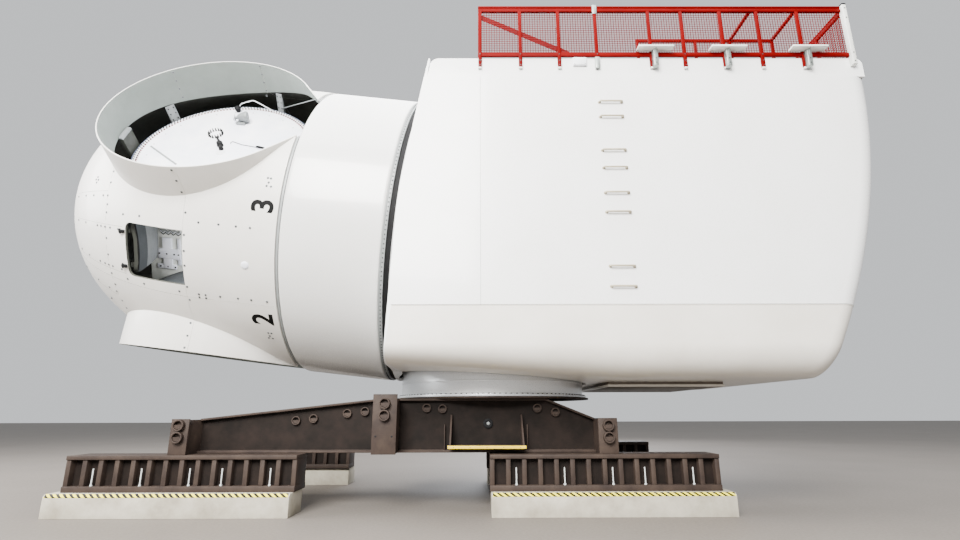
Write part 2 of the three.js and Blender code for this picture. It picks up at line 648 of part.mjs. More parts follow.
// The third of the rotor that ends at an angle, less half a seat at both ends
function rotorThird(to) {
  const point = (angle, reach) => [-Math.sin(angle) * reach, Math.cos(angle) * reach];
  const middle = to - THIRD / 2;
  const [shiftY, shiftZ] = point(middle, SEAT / Math.sqrt(3));
  const outline = [
    [0, 0], point(to - THIRD, ROTOR_ROOM), point(middle, ROTOR_ROOM), point(to, ROTOR_ROOM)];
  return plate(outline.map(([y, z]) => [y + shiftY, z + shiftZ]), 'x', -ROTOR_ROOM, ROTOR_ROOM);
}

// Service hatch in the near side of the front shell, between two blades. Its door hangs on the forward edge,
// behind the skin, and stands open inwards at rest.
const HATCH = {
  angle: ROTOR_ANGLE + 58.5 * DEG, from: -980, half: 515, corner: 130, gap: 5, open: 118 * DEG,
  barrel: 12, barrelAt: 335, barrelHalf: 40, barrelSides: 10, ear: 25, earFoot: 50, pivotBelow: 70,
  hook: 45, hookThick: 25, hookTop: 110, plug: [1500, 4000], // the hooks of the door reach round its pivots
};

function hatchOutline(grow) {
  const [x0, x1, half] = [HATCH.from - grow, SPINNER.seam + (grow ? 0 : -HATCH.gap), HATCH.half + grow];
  const outline = [[x1, -half], [x1, half]];
  for (const side of [1, -1]) {
    for (let i = 0; i <= 4; i += 1) {
      const a = (side > 0 ? i : 4 - i) / 4 * Math.PI / 2;
      outline.push([x0 + HATCH.corner * (1 - Math.sin(a)), side * (half - HATCH.corner * (1 - Math.cos(a)))]);
    }
  }
  return outline;
}

const HATCH_TURN = new THREE.Matrix4().makeRotationX(HATCH.angle);

function hatchPlug(grow) {
  return moved(plate(hatchOutline(grow), 'z', ...HATCH.plug), HATCH_TURN);
}

function skinRadiusAt(s) {
  const t = (SPINNER.curveFrom - s) / SPINNER.curveLength;
  return SPINNER.radius * (1 - t ** SPINNER.power) ** (1 / SPINNER.power);
}

const PIVOT = { s: HATCH.from - HATCH.gap, r: skinRadiusAt(HATCH.from) - SPINNER.skin - HATCH.pivotBelow };

// The pivot barrels of the door, along the circumference, in the hatch's own frame: x is along the axis and
// z is outwards
function pivotParts(make) {
  return join(...[-1, 1].map((side) => make(side * HATCH.barrelAt)));
}

function hatchDoor(skin) {
  const leaf = skin.intersect(hatchPlug(0));
  const at = new THREE.Matrix4().makeTranslation(PIVOT.s, 0, PIVOT.r);
  const arms = moved(pivotParts((y) => {
    const ys = [y - HATCH.barrelHalf, y + HATCH.barrelHalf];
    const barrel = drum(HATCH.barrel, ys, 'y', HATCH.barrelSides);
    return join(
      barrel,
      box([0, HATCH.hook], ys, [-HATCH.barrel, HATCH.barrel]),
      box([HATCH.hook - HATCH.hookThick, HATCH.hook], ys, [-HATCH.barrel, HATCH.hookTop]));
  }), at);
  const closed = join(moved(leaf, HATCH_TURN.clone().invert()), arms);
  const turn = new THREE.Matrix4().makeRotationY(HATCH.open);
  const swing = at.clone().multiply(turn).multiply(at.clone().invert());
  return moved(closed, HATCH_TURN.clone().multiply(swing));
}

// Ear plates on both sides of each pivot barrel, under the skin ahead of the hatch
function hatchEars() {
  const [inside, outside] = [HATCH.barrelHalf + SEAT, HATCH.barrelHalf + SEAT + HATCH.ear];
  const ears = pivotParts((y) => join(...[-1, 1].map((side) => {
    const ys = [y + Math.min(side * inside, side * outside), y + Math.max(side * inside, side * outside)];
    const foot = box([-HATCH.earFoot, 0], ys, [-HATCH.barrel, HATCH.pivotBelow + 20]);
    return join(drum(HATCH.barrel, ys, 'y', HATCH.barrelSides), foot);
  })));
  return moved(ears, HATCH_TURN.clone().multiply(new THREE.Matrix4().makeTranslation(PIVOT.s, 0, PIVOT.r)));
}

// One blade's collar without its bore: round but for two straight sides, which would meet behind the shell.
// The shell's rear plane cuts them off, so the collar is open towards the generator.
function bladeCollar(number, low, radius, high) {
  const outline = [[radius / Math.cos(BLADE.straight), 0]];
  for (let i = 0; i <= BLADE.sides; i += 1) {
    const a = BLADE.straight + (2 * Math.PI - 2 * BLADE.straight) * (i / BLADE.sides);
    outline.push([radius * Math.cos(a), radius * Math.sin(a)]);
  }
  return moved(plate(outline, 'z', low, high), bladeMatrix(number));
}

function withoutBores(solid) {
  let rest = solid;
  for (let i = 0; i < 3; i += 1) {
    rest = rest.subtract(bladeCollar(i, HATCH.plug[0], BLADE.collar - BLADE.wall, ROTOR_ROOM));
  }
  return rest;
}

// The front is in three petals, each round one blade. The rear is in three panels, each between two blades,
// and so is the trim ring behind it.
function buildSpinner() {
  const inner = spinnerSolid(SPINNER.skin, SPINNER.rear + PAST);
  const skin = spinnerSolid(0, SPINNER.rear).subtract(inner);
  const everywhere = [-ROTOR_ROOM, ROTOR_ROOM];
  const slice = (from, to) => box([from, to], everywhere, everywhere);
  const deepInside = spinnerSolid(SPINNER.skin + BLADE.inside, SPINNER.rear + PAST);
  let shell = skin;
  for (let i = 0; i < 3; i += 1) {
    const collar = bladeCollar(i, BLADE.low, BLADE.collar, BLADE.rim);
    shell = shell.add(collar.subtract(slice(SPINNER.rear, ROTOR_ROOM)).subtract(deepInside));
  }
  const cut = withoutBores(shell).subtract(hatchPlug(HATCH.gap)).add(hatchEars());
  const front = cut.intersect(slice(-ROTOR_ROOM, SPINNER.seam - SEAT / 2));
  const rear = cut.intersect(slice(SPINNER.seam + SEAT / 2, ROTOR_ROOM));
  const between = [SPINNER.rear + SEAT, GEN_FRONT_S - SEAT];
  const trim = withoutBores(pipe(SPINNER.sealOuter, SPINNER.sealInner, between, 'x', SPINNER.sides));
  for (let i = 0; i < SPINNER.petals; i += 1) {
    const round = rotorThird(ROTOR_ANGLE + SPINNER.petalSeam + i * THIRD);
    const panel = rotorThird(ROTOR_ANGLE + (i + 1) * THIRD);
    addPiece(rotorFrame, `spinner_front_${i + 1}`, front.intersect(round), WHITE);
    addPiece(rotorFrame, `spinner_rear_${i + 1}`, rear.intersect(panel), WHITE);
    addPiece(rotorFrame, `spinner_seal_${i + 1}`, trim.intersect(panel), GREY);
  }
  addPiece(rotorFrame, 'hatch_door', hatchDoor(skin), GREY);
}

// Hub casting: a ball with three bearing flanges on narrow necks
const HUB = {
  ball: 1700, ballSides: 24, flange: 1800, flangeLow: 1850, neck: 1150, neckFrom: 1200, neckLow: 1350,
  root: 1000, rootLow: 500, rearFlange: 1500, flangeTop: BLADE.discTop - BLADE.discThick,
};

function hubCasting() {
  let hub = toSolid(new THREE.SphereGeometry(HUB.ball, HUB.ballSides, HUB.ballSides / 2));
  hub = hub.add(drum(HUB.rearFlange, [0, GEN_FRONT_S - SEAT], 'x', COLLAR.sides));
  for (let i = 0; i < 3; i += 1) {
    hub = hub.add(moved(bladeFlange(), bladeMatrix(i)));
  }
  return hub;
}

function bladeFlange() {
  const top = HUB.flangeTop - SEAT;
  return turned([
    [0, HUB.rootLow], [HUB.root, HUB.rootLow], [HUB.root, HUB.neckFrom], [HUB.neck, HUB.neckLow],
    [HUB.flange, HUB.flangeLow], [HUB.flange, top], [0, top]], 'z', BLADE.sides);
}

// Blade bearing with its round cover plate, which turns with the blade
function bladePlate() {
  const low = HUB.flangeTop;
  return turned([
    [0, low], [BLADE.disc, low], [BLADE.disc, BLADE.discTop - 30], [BLADE.disc - 90, BLADE.discTop - 30],
    [BLADE.disc - 100, BLADE.discTop], [0, BLADE.discTop]], 'z', BLADE.sides);
}

// Ring generator: the turning drum with a rounded front shoulder, and the steel ring on its rear edge
const GENERATOR = { shoulder: 60, endRing: 65, endOuter: 3235, endInner: 2700 };

function generatorDrum() {
  const rear = GEN_REAR_S - SEAL.ahead - RING_GAP - GENERATOR.endRing - SEAT;
  const bore = (SHAFT.radius + SHAFT.clearance) / Math.cos(Math.PI / COLLAR.sides);
  const floor = GEN_FRONT_S + SHAFT.end - SEAT;
  const profile = [[0, GEN_FRONT_S], [GEN_R - GENERATOR.shoulder, GEN_FRONT_S]];
  for (let i = 1; i <= 3; i += 1) {
    const a = (i / 3) * Math.PI / 2;
    profile.push([
      GEN_R - GENERATOR.shoulder * (1 - Math.sin(a)),
      GEN_FRONT_S + GENERATOR.shoulder * (1 - Math.cos(a))]);
  }
  profile.push([GEN_R, rear], [bore, rear], [bore, floor], [0, floor]);
  return turned(profile, 'x', COLLAR.sides);
}

function generatorEndRing() {
  const rear = GEN_REAR_S - SEAL.ahead - RING_GAP;
  return pipe(GENERATOR.endOuter, GENERATOR.endInner, [rear - GENERATOR.endRing, rear], 'x', COLLAR.sides);
}

function buildRotor() {
  addPiece(rotorFrame, 'generator_drum', generatorDrum(), WHITE);
  addPiece(rotorFrame, 'generator_end_ring', generatorEndRing(), STEEL_RING);
  addPiece(rotorFrame, 'hub_casting', hubCasting(), CAST);
  buildSpinner();
  for (let i = 0; i < 3; i += 1) {
    addPiece(rotorFrame, `blade_plate_${i + 1}`, moved(bladePlate(), bladeMatrix(i)), WHITE);
  }
}

buildStand();
addPiece(yawFrame, 'bedframe', bedframe(), CAST);
buildCanopy();
buildDeckEquipment();
buildRotor();

export default object;
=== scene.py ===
"""Direct-drive wind turbine nacelle on its assembly stand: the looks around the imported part."""
import math

import bmesh
import bpy
from mathutils import Matrix, Vector


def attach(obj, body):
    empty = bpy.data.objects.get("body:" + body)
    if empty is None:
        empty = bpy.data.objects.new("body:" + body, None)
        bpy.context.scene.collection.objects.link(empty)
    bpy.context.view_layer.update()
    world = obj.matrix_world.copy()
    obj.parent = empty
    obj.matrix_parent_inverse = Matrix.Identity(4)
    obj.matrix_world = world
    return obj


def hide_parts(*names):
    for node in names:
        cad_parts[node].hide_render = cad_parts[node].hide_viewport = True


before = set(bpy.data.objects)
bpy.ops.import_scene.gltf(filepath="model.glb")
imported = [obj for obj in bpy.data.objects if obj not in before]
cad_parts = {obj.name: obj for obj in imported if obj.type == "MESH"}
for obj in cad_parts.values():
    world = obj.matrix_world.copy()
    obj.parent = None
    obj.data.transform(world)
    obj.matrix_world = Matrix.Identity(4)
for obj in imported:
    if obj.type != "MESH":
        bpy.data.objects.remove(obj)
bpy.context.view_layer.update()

# The part's own sizes, in metres
YAW_X = 1.059
MIDDLE_Y = -0.004
TILT = math.radians(6.5)
GENERATOR_X = -1.81  # middle of the generator's rear edge, counted from the yaw axis
GENERATOR_Z = 5.644
HUB_TO_REAR = 3.99
ROTOR_ANGLE = 61.5
CONE = math.radians(0.7)
HALF_WIDTH = 3.3
CANOPY_TOP = 7.95
CANOPY_REAR = 7.26
CANOPY_ROUND = 0.4  # radius of the canopy's upright rear corners
BELLY_ROUND = 0.55  # radius of the canopy's lower edges
BELLY_START = 2.85  # height where the lower edges start to round
DECK_TOP = 8.35
GENERATOR_RADIUS = 3.25
HOOD_END = HUB_TO_REAR + 0.07 + 1.0
SPINNER_RADIUS = 3.26
SPINNER_WIDEST = 0.79  # the spinner is a cylinder from here to its rear
SPINNER_LENGTH = 4.396
SPINNER_CURVE = 2.1  # exponent of the spinner's oval
SPINNER_REAR = 1.95
SPINNER_SEAM = 0.23
SPINNER_WALL = 0.055
COLLAR_RADIUS = 1.998
COLLAR_BORE = 1.97
COLLAR_STRAIGHT = 38  # degrees on both sides of the rear where the collar's wall runs straight
COLLAR_RIM = 3.17
DISC_TOP = 2.156
HATCH_ANGLE = 120.0
HATCH_OPEN = 118  # degrees that the hatch door stands open inwards
HATCH_FRONT = -0.98
HATCH_CORNER = 0.13
SIDE_SEAM_X = -0.26
SKIRT_SEAM_Z = 3.5
ROUND = 192  # sides of a large round piece

YAW = Matrix.Translation((YAW_X, MIDDLE_Y, 0))
SPIN = Matrix.Rotation(TILT, 4, "Y")
GENERATOR_REAR = Vector((YAW_X + GENERATOR_X, MIDDLE_Y, GENERATOR_Z))
ROTOR = Matrix.Translation(GENERATOR_REAR - SPIN @ Vector((HUB_TO_REAR, 0, 0))) @ SPIN
ALONG_X = Matrix.Rotation(math.pi / 2, 4, "Y")  # stands a turned shape on the X axis
ROTOR_TURNED = ROTOR @ ALONG_X


def around(degrees):
    """The rotor's frame turned so that Z points in a direction counted from straight up to the near side."""
    return ROTOR @ Matrix.Rotation(math.radians(degrees), 4, "X")


BLADES = [around(ROTOR_ANGLE + 120 * i) @ Matrix.Rotation(-CONE, 4, "Y") for i in range(3)]


def skin_radius(s, inset=0.0):
    """The spinner's radius at a distance s behind the blade axes."""
    t = max(0.0, (SPINNER_WIDEST - s) / (SPINNER_LENGTH - inset))
    return (SPINNER_RADIUS - inset) * max(0.0, 1 - t ** SPINNER_CURVE) ** (1 / SPINNER_CURVE)


def linear(colour):
    """An sRGB hex colour as linear red, green, blue and alpha."""
    parts = [int(colour[i:i + 2], 16) / 255 for i in (1, 3, 5)]
    return tuple(p / 12.92 if p <= 0.04045 else ((p + 0.055) / 1.055) ** 2.4 for p in parts) + (1.0,)


def add_node(tree, kind, inputs=None, **options):
    """Adds a node with its options, and sets or links its inputs."""
    made = tree.nodes.new(kind)
    for option, value in options.items():
        setattr(made, option, value)
    for key, value in (inputs or {}).items():
        if isinstance(value, bpy.types.NodeSocket):
            tree.links.new(value, made.inputs[key])
        else:
            made.inputs[key].default_value = value
    return made


# Materials

def finish(name, colour, tint, patch, rough, grain, bump=0.0, metallic=0.0, coat=0.0, stretch=(1, 1, 1),
           sharp=0.5, specular=0.5):
    """A surface whose colour drifts to a tint in patches, with fine grain. patch and grain are their sizes
    and bump is the depth of the grain, all in metres. rough is the lowest and highest roughness."""
    material = bpy.data.materials.new(name)
    material.use_nodes = True
    tree = material.node_tree
    shader = tree.nodes["Principled BSDF"]
    place = add_node(tree, "ShaderNodeTexCoord").outputs["Object"]
    spread = add_node(tree, "ShaderNodeMapping", {"Vector": place, "Scale": stretch}).outputs[0]
    cloud = add_node(tree, "ShaderNodeTexNoise",
                     {"Vector": spread, "Scale": 1 / patch, "Detail": 6.0, "Roughness": 0.62})
    low, high = 0.5 - sharp / 2, 0.5 + sharp / 2
    share = add_node(tree, "ShaderNodeMapRange",
                     {"Value": cloud.outputs[0], "From Min": low, "From Max": high}).outputs[0]
    mixed = add_node(tree, "ShaderNodeMix", {"Factor": share, 6: linear(colour), 7: linear(tint)},
                     data_type="RGBA")
    tree.links.new(mixed.outputs[2], shader.inputs["Base Color"])
    fine = add_node(tree, "ShaderNodeTexNoise", {"Vector": spread, "Scale": 1 / grain, "Detail": 3.0})
    gloss = add_node(tree, "ShaderNodeMapRange", {
        "Value": fine.outputs[0], "From Min": 0.3, "From Max": 0.7, "To Min": rough[0], "To Max": rough[1]})
    tree.links.new(gloss.outputs[0], shader.inputs["Roughness"])
    if bump:
        relief = add_node(tree, "ShaderNodeBump",
                          {"Height": fine.outputs[0], "Distance": bump, "Strength": 1.0})
        tree.links.new(relief.outputs[0], shader.inputs["Normal"])
    shader.inputs["Metallic"].default_value = metallic
    shader.inputs["Specular IOR Level"].default_value = specular
    if coat:
        shader.inputs["Coat Weight"].default_value = coat
        shader.inputs["Coat Roughness"].default_value = 0.08
    return material


def striped(name, first, second, width, direction, roughness):
    """Adhesive tape with slanted bands: the bands cross a direction, each as wide as width in metres."""
    material = bpy.data.materials.new(name)
    material.use_nodes = True
    tree = material.node_tree
    shader = tree.nodes["Principled BSDF"]
    place = add_node(tree, "ShaderNodeTexCoord").outputs["Object"]
    along = add_node(tree, "ShaderNodeVectorMath", {0: place, 1: direction},
                     operation="DOT_PRODUCT").outputs["Value"]
    phase = add_node(tree, "ShaderNodeMath", {0: along, 1: 2 * width}, operation="FLOORED_MODULO").outputs[0]
    band = add_node(tree, "ShaderNodeMath", {0: phase, 1: width}, operation="LESS_THAN").outputs[0]
    mixed = add_node(tree, "ShaderNodeMix", {"Factor": band, 6: linear(first), 7: linear(second)},
                     data_type="RGBA")
    scuff = add_node(tree, "ShaderNodeTexNoise", {"Vector": place, "Scale": 1 / 0.05, "Detail": 4.0})
    worn = add_node(tree, "ShaderNodeMapRange", {
        "Value": scuff.outputs[0], "From Min": 0.62, "From Max": 0.8, "To Max": 0.4})
    dirty = add_node(tree, "ShaderNodeMix",
                     {"Factor": worn.outputs[0], 6: mixed.outputs[2], 7: linear("#8F887A")},
                     data_type="RGBA")
    tree.links.new(dirty.outputs[2], shader.inputs["Base Color"])
    shader.inputs["Roughness"].default_value = roughness
    shader.inputs["Specular IOR Level"].default_value = 0.2
    return material


# The real grain of these finishes, mostly 0.5 to 5 mm, is far finer than a pixel, which covers about 23 mm of
# the object. It is drawn coarser than it is, so that some of it shows.

# Glass fibre with white gel coat: softly glossy, a little cooler or yellower from sheet to sheet
CANOPY_GEL_COAT = finish("canopy_gel_coat", "#ECEDEE", "#E4E4E3", 1.6, (0.24, 0.36), 0.03, 0.00012, coat=0.25)
# The same gel coat low down, painted darker and warmer: painted shade under the canopy, with painted warm
# light from the floor
LOWER_GEL_COAT_SHADED = finish("lower_gel_coat_painted_shade", "#E0DCD5", "#D0CBC2", 1.1, (0.28, 0.42), 0.03, 0.00012, coat=0.2)
# Spinner gel coat from an open mould: flatter sheen, a warm grey white
SPINNER_GEL_COAT = finish("spinner_gel_coat", "#DEDCD8", "#D3D0CB", 0.9, (0.34, 0.5), 0.02, 0.0002, coat=0.12)
# Sprayed white enamel on the generator: glossy, with the faint ripple of a sprayed coat
GENERATOR_ENAMEL = finish("generator_enamel", "#DFDFDE", "#D8D8D6", 1.8, (0.2, 0.3), 0.02, 0.0001, coat=0.4)
# White board over the blade bearing: matt, faintly blue, scuffed
COVER_BOARD = finish("cover_board", "#F2F3F8", "#D9DEEA", 0.7, (0.45, 0.62), 0.015, 0.0002, sharp=0.35)
# White enamelled steel of the bolted ring round the board
COVER_RING = finish("cover_ring_enamel", "#E9EAEE", "#D5D8DE", 0.3, (0.35, 0.5), 0.01, 0.0001, coat=0.1)
# Blue-grey polyurethane lip of the blade bearing
BEARING_LIP = finish("bearing_lip", "#4A5064", "#3A3F50", 0.2, (0.4, 0.55), 0.005, 0.0002)
# Zinc dust paint on small brackets and the motor; the same grey on the board of the hatch door is painted
# shade over its white face
ZINC_PAINT_AND_DOOR_SHADE = finish("zinc_paint_and_door_shade", "#868A8C", "#74787A", 0.12, (0.45, 0.6), 0.006, 0.0002,
                      metallic=0.25)
# Grey joint sealant between the moulded parts
SEAM_SEALANT = finish("seam_sealant", "#8E8C86", "#7C7A75", 0.1, (0.6, 0.75), 0.004, 0.0)
# Grey-green lining on the inside of the blade collars
COLLAR_LINING = finish("collar_lining", "#7C837F", "#6F7672", 0.5, (0.5, 0.66), 0.01, 0.0002, specular=0.25)
# Dark glass fibre laminate under the spinner's skin and round its hatch: the laminate's own grey, darkened
# further as painted shade for the dim inside of the spinner
LAMINATE_AND_SHADE = finish("laminate_and_painted_shade", "#43443F", "#52534D", 0.15, (0.6, 0.8), 0.006, 0.0006, specular=0.15)
# Red polyester powder coat: even colour, fine texture
RED_POWDER_COAT = finish("red_powder_coat", "#600001", "#520001", 0.5, (0.4, 0.55), 0.004, 0.0001,
                         specular=0.03)
# Hot dip galvanised steel: grey crystals, drawn about 20 mm across
GALVANISED_STEEL = finish("galvanised_steel", "#A6ACA8", "#858C8A", 0.02, (0.34, 0.55), 0.01, 0.0001,
                          metallic=0.85)
# Brown alkyd paint on heavy plate: satin, rubbed and dusty
BROWN_ALKYD = finish("brown_alkyd_paint", "#2B2320", "#3B312B", 0.3, (0.5, 0.7), 0.006, 0.0004, sharp=0.35,
                     specular=0.15)
# The same brown on the webs, painted almost black: painted shade, for webs that sit recessed under the canopy
# and between ribs
BROWN_WEB_SHADE = finish("brown_web_painted_shade", "#120E0C", "#1F1815", 0.3, (0.55, 0.72), 0.006, 0.0004, sharp=0.35,
                   specular=0.1)
# Cast concrete with cream paint: pores drawn about 12 mm across, rain-grey stains
PAINTED_CONCRETE = finish("painted_concrete", "#B4AE9F", "#8E8778", 0.45, (0.78, 0.95), 0.012, 0.0015,
                          sharp=0.4)
# Turned steel under clear wax: fine rings round the axis, so the grain is stretched flat
TURNED_STEEL = finish("turned_steel", "#EEF0F2", "#D6DADD", 0.5, (0.26, 0.4), 0.002, 0.00003, metallic=0.6,
                      stretch=(0.1, 0.1, 1))
# Spheroidal iron with grey primer; the same dark grey on the hatch door's strip by its hinge is painted shade
PRIMED_IRON_AND_DOOR_SHADE = finish("primed_iron_and_door_shade", "#4A4E51", "#383B3E", 0.4, (0.5, 0.68), 0.008, 0.0008, specular=0.2)
# Nitrile rubber seal; the same black on the discs in the middle cross beam's plates is painted shade for
# holes
SEAL_RUBBER_AND_HOLE_SHADE = finish("seal_rubber", "#0C0C0D", "#151517", 0.2, (0.6, 0.75), 0.004, 0.0003, specular=0.15)
# Grey stove enamel on trim and covers
GREY_ENAMEL = finish("grey_enamel", "#8E9293", "#7E8283", 0.4, (0.35, 0.5), 0.01, 0.0001, coat=0.1)
# Taupe of the service pan, painted dark as shade on its recessed upper band and its underside
PAN_SHADE = finish("pan_painted_shade", "#6B645C", "#5E5850", 0.5, (0.45, 0.6), 0.01, 0.0001, specular=0.2)
# Pale enamel on the cabinet inside the hatch
CABINET_ENAMEL = finish("cabinet_enamel", "#E3E6E1", "#D2D6D0", 0.4, (0.3, 0.45), 0.01, 0.0001, coat=0.15)
# Bright zinc plate on the anchor rods
BRIGHT_ZINC = finish("bright_zinc_plate", "#DCDFDF", "#C8CCCC", 0.05, (0.3, 0.45), 0.004, 0.00005,
                     metallic=0.3)
# Dark grey on the boxes beside the blade bearings, and on the hatch door, where it is painted shade on the
# door's shadowed inner leaf
DARK_GREY_AND_DOOR_SHADE = finish("dark_grey_and_door_shade", "#2B2D2A", "#383A36", 0.3, (0.4, 0.55), 0.01, 0.0002, specular=0.2)
# Dull zinc plate on small bolts
DULL_ZINC = finish("dull_zinc_plate", "#434547", "#353739", 0.05, (0.4, 0.55), 0.004, 0.00005, metallic=0.4)
# Black oxide fasteners, and their red torque marks
BLACK_OXIDE = finish("black_oxide", "#1E1F21", "#131415", 0.05, (0.45, 0.62), 0.004, 0.00005, metallic=0.3,
                     specular=0.2)
RED_MARKER = finish("red_marker_lacquer", "#9C2238", "#84182C", 0.05, (0.4, 0.55), 0.004, 0.00005)
# The darker red of the brace: painted shade, for a brace that lies in shadow behind the wires
BRACE_RED_SHADE = finish("brace_red_painted_shade", "#5E0A0E", "#4C0C10", 0.3, (0.5, 0.65), 0.006, 0.0002, specular=0.1)
# Beige polyester coat of the grab bars
BAR_COAT = finish("bar_polyester_coat", "#AFA692", "#9E9581", 0.2, (0.4, 0.52), 0.006, 0.0001, specular=0.3)
# Pale enamel on the fence's foot plates, corner posts and end caps
PALE_ENAMEL = finish("pale_enamel", "#DADBD6", "#C4C6C1", 0.25, (0.36, 0.52), 0.008, 0.0001, coat=0.1)
# Yellow signal paint on the step's edge
SIGNAL_YELLOW = finish("signal_yellow_paint", "#E5C52A", "#C9A81F", 0.15, (0.4, 0.55), 0.005, 0.0002)
# Satin black acrylic lacquer of the numerals
BLACK_LACQUER = finish("black_lacquer", "#050506", "#090A0A", 0.3, (0.4, 0.5), 0.01, 0.0, specular=0.1)
# Woven vinyl hazard tape, slanted bands 56 mm wide along the plinth
HAZARD_TAPE = striped("hazard_tape", "#E6D93A", "#0D0D0D", 0.0297, (0.53, 0, 0.848), 0.5)
# Painted floor of the studio
FLOOR_PAINT = finish("floor_paint", "#6C6660", "#645E58", 3.0, (0.55, 0.68), 0.05, specular=0.3)

# CAD nodes that show as they are
# The hatch door's dark grey is painted shade
NODE_FINISHES = {
    "bedframe": PRIMED_IRON_AND_DOOR_SHADE, "hub_casting": PRIMED_IRON_AND_DOOR_SHADE, "hatch_door": DARK_GREY_AND_DOOR_SHADE,
    "service_step": BROWN_ALKYD, "hoist_deck": GALVANISED_STEEL,
}
for node_name, node_finish in NODE_FINISHES.items():
    for material_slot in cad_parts[node_name].material_slots:
        material_slot.material = node_finish


# Shapes

def piece(name, mesh, material, body, replaces=(), smooth=35):
    """A finished piece of the object: it rides on a body and may stand for CAD nodes."""
    mesh.name = name
    made = bpy.data.objects.new(name, mesh)
    bpy.context.scene.collection.objects.link(made)
    if material is not None:
        mesh.materials.clear()
        mesh.materials.append(material)
    if smooth:
        mesh.shade_smooth()
        mesh.set_sharp_from_angle(angle=math.radians(smooth))
    if replaces:
        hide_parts(*replaces)
    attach(made, body)
    return made


def from_lists(points, faces, matrix=Matrix(), tidy=True):
    """A mesh through points and faces, with its normals turned outwards."""
    mesh = bpy.data.meshes.new("shape")
    shape = bmesh.new()
    corners = [shape.verts.new(matrix @ Vector(p)) for p in points]
    for face in faces:
        shape.faces.new([corners[i] for i in face])
    if tidy:
        bmesh.ops.remove_doubles(shape, verts=shape.verts, dist=1e-6)
        bmesh.ops.recalc_face_normals(shape, faces=shape.faces)
    shape.to_mesh(mesh)
    shape.free()
    return mesh


def merged(*meshes):
    """Several meshes as one, with their materials kept."""
    shape = bmesh.new()
    materials = []
    for mesh in meshes:
        first = len(shape.faces)
        shape.from_mesh(mesh)
        shape.faces.ensure_lookup_table()
        own = list(mesh.materials)
        for face in shape.faces[first:]:
            material = own[face.material_index] if own else None
            if material not in materials:
                materials.append(material)
            face.material_index = materials.index(material)
    whole = bpy.data.meshes.new("merged")
    shape.to_mesh(whole)
    shape.free()
    for material in materials:
        whole.materials.append(material)
    return whole


def rounded(outline, radius, steps=3):
    """An outline of 2D points with each corner rounded."""
    soft = []
    count = len(outline)
    for i in range(count):
        corner = Vector(outline[i])
        before = Vector(outline[i - 1]) - corner
        after = Vector(outline[(i + 1) % count]) - corner
        reach = min(radius, before.length / 2.1, after.length / 2.1)
        start = corner + before.normalized() * reach
        end = corner + after.normalized() * reach
        for k in range(steps + 1):
            t = k / steps
            soft.append(tuple((1 - t) ** 2 * start + 2 * t * (1 - t) * corner + t * t * end))
    return soft


def circle(sides):
    """The corners of a polygon at radius 1 that stands for a circle."""
    return [(math.cos(2 * math.pi * k / sides), math.sin(2 * math.pi * k / sides)) for k in range(sides)]


def turned(profile, matrix=YAW, sides=ROUND, shape=None):
    """A closed profile of (radius, height) turned round the Z axis of a matrix. Radius 0 closes it at a pole.
    A shape, the outline at radius 1, may take the place of the circle."""
    points = []
    rows = []
    shape = shape or circle(sides)
    sides = len(shape)
    for radius, height in profile:
        if radius < 1e-9:
            rows.append([len(points)] * sides)
            points.append((0, 0, height))
            continue
        rows.append(list(range(len(points), len(points) + sides)))
        points += [(radius * x, radius * y, height) for x, y in shape]
    faces = []
    for i in range(len(rows)):
        low, high = rows[i - 1], rows[i]
        if low[0] == low[1] and high[0] == high[1]:
            continue
        for k in range(sides):
            m = (k + 1) % sides
            face = []
            for corner in (low[k], low[m], high[m], high[k]):
                if corner not in face:
                    face.append(corner)
            faces.append(face)
    return from_lists(points, faces, matrix)


def soften(mesh, width):
    """The same mesh with its hard edges rounded off."""
    shape = bmesh.new()
    shape.from_mesh(mesh)
    hard = [edge for edge in shape.edges if edge.calc_face_angle(0.0) > 0.6]
    bmesh.ops.bevel(shape, geom=hard, offset=width, segments=2, profile=0.5, affect="EDGES")
    shape.to_mesh(mesh)
    shape.free()
    return mesh


def prism(outline, axis, low, high, soft=0.0, matrix=YAW):
    """An outline pushed along an axis: 'x' takes points (y, z), 'y' takes (x, z) and 'z' takes (x, y)."""
    def at(point, depth):
        a, b = point
        return {"x": (depth, a, b), "y": (a, depth, b), "z": (a, b, depth)}[axis]
    count = len(outline)
    points = [at(p, low) for p in outline] + [at(p, high) for p in outline]
    faces = [list(range(count))[::-1], list(range(count, 2 * count))]
    faces += [[i, (i + 1) % count, count + (i + 1) % count, count + i] for i in range(count)]
    mesh = from_lists(points, faces, matrix)
    return soften(mesh, soft) if soft else mesh


def block(x, y, z, soft=0.0, matrix=YAW):
    """A box between limits, with its edges rounded."""
    return prism([(y[0], z[0]), (y[1], z[0]), (y[1], z[1]), (y[0], z[1])], "x", *x, soft=soft, matrix=matrix)


def rod(points, radius, sides=12, matrix=YAW):
    """A round bar along a path of points."""
    path = [Vector(p) for p in points]
    side = None
    rings = []
    for i, p in enumerate(path):
        ahead = (path[min(i + 1, len(path) - 1)] - path[max(i - 1, 0)]).normalized()
        if side is None:
            side = ahead.orthogonal().normalized()
        side = (side - ahead * side.dot(ahead)).normalized()
        other = ahead.cross(side)
        rings.append([p + (side * math.cos(a) + other * math.sin(a)) * radius
                      for a in (2 * math.pi * k / sides for k in range(sides))])
    points = [p for ring in rings for p in ring]
    faces = [list(range(sides)), list(range(len(points) - sides, len(points)))]
    for i in range(len(rings) - 1):
        for k in range(sides):
            m = (k + 1) % sides
            faces.append([i * sides + k, i * sides + m, (i + 1) * sides + m, (i + 1) * sides + k])
    return from_lists(points, faces, matrix)


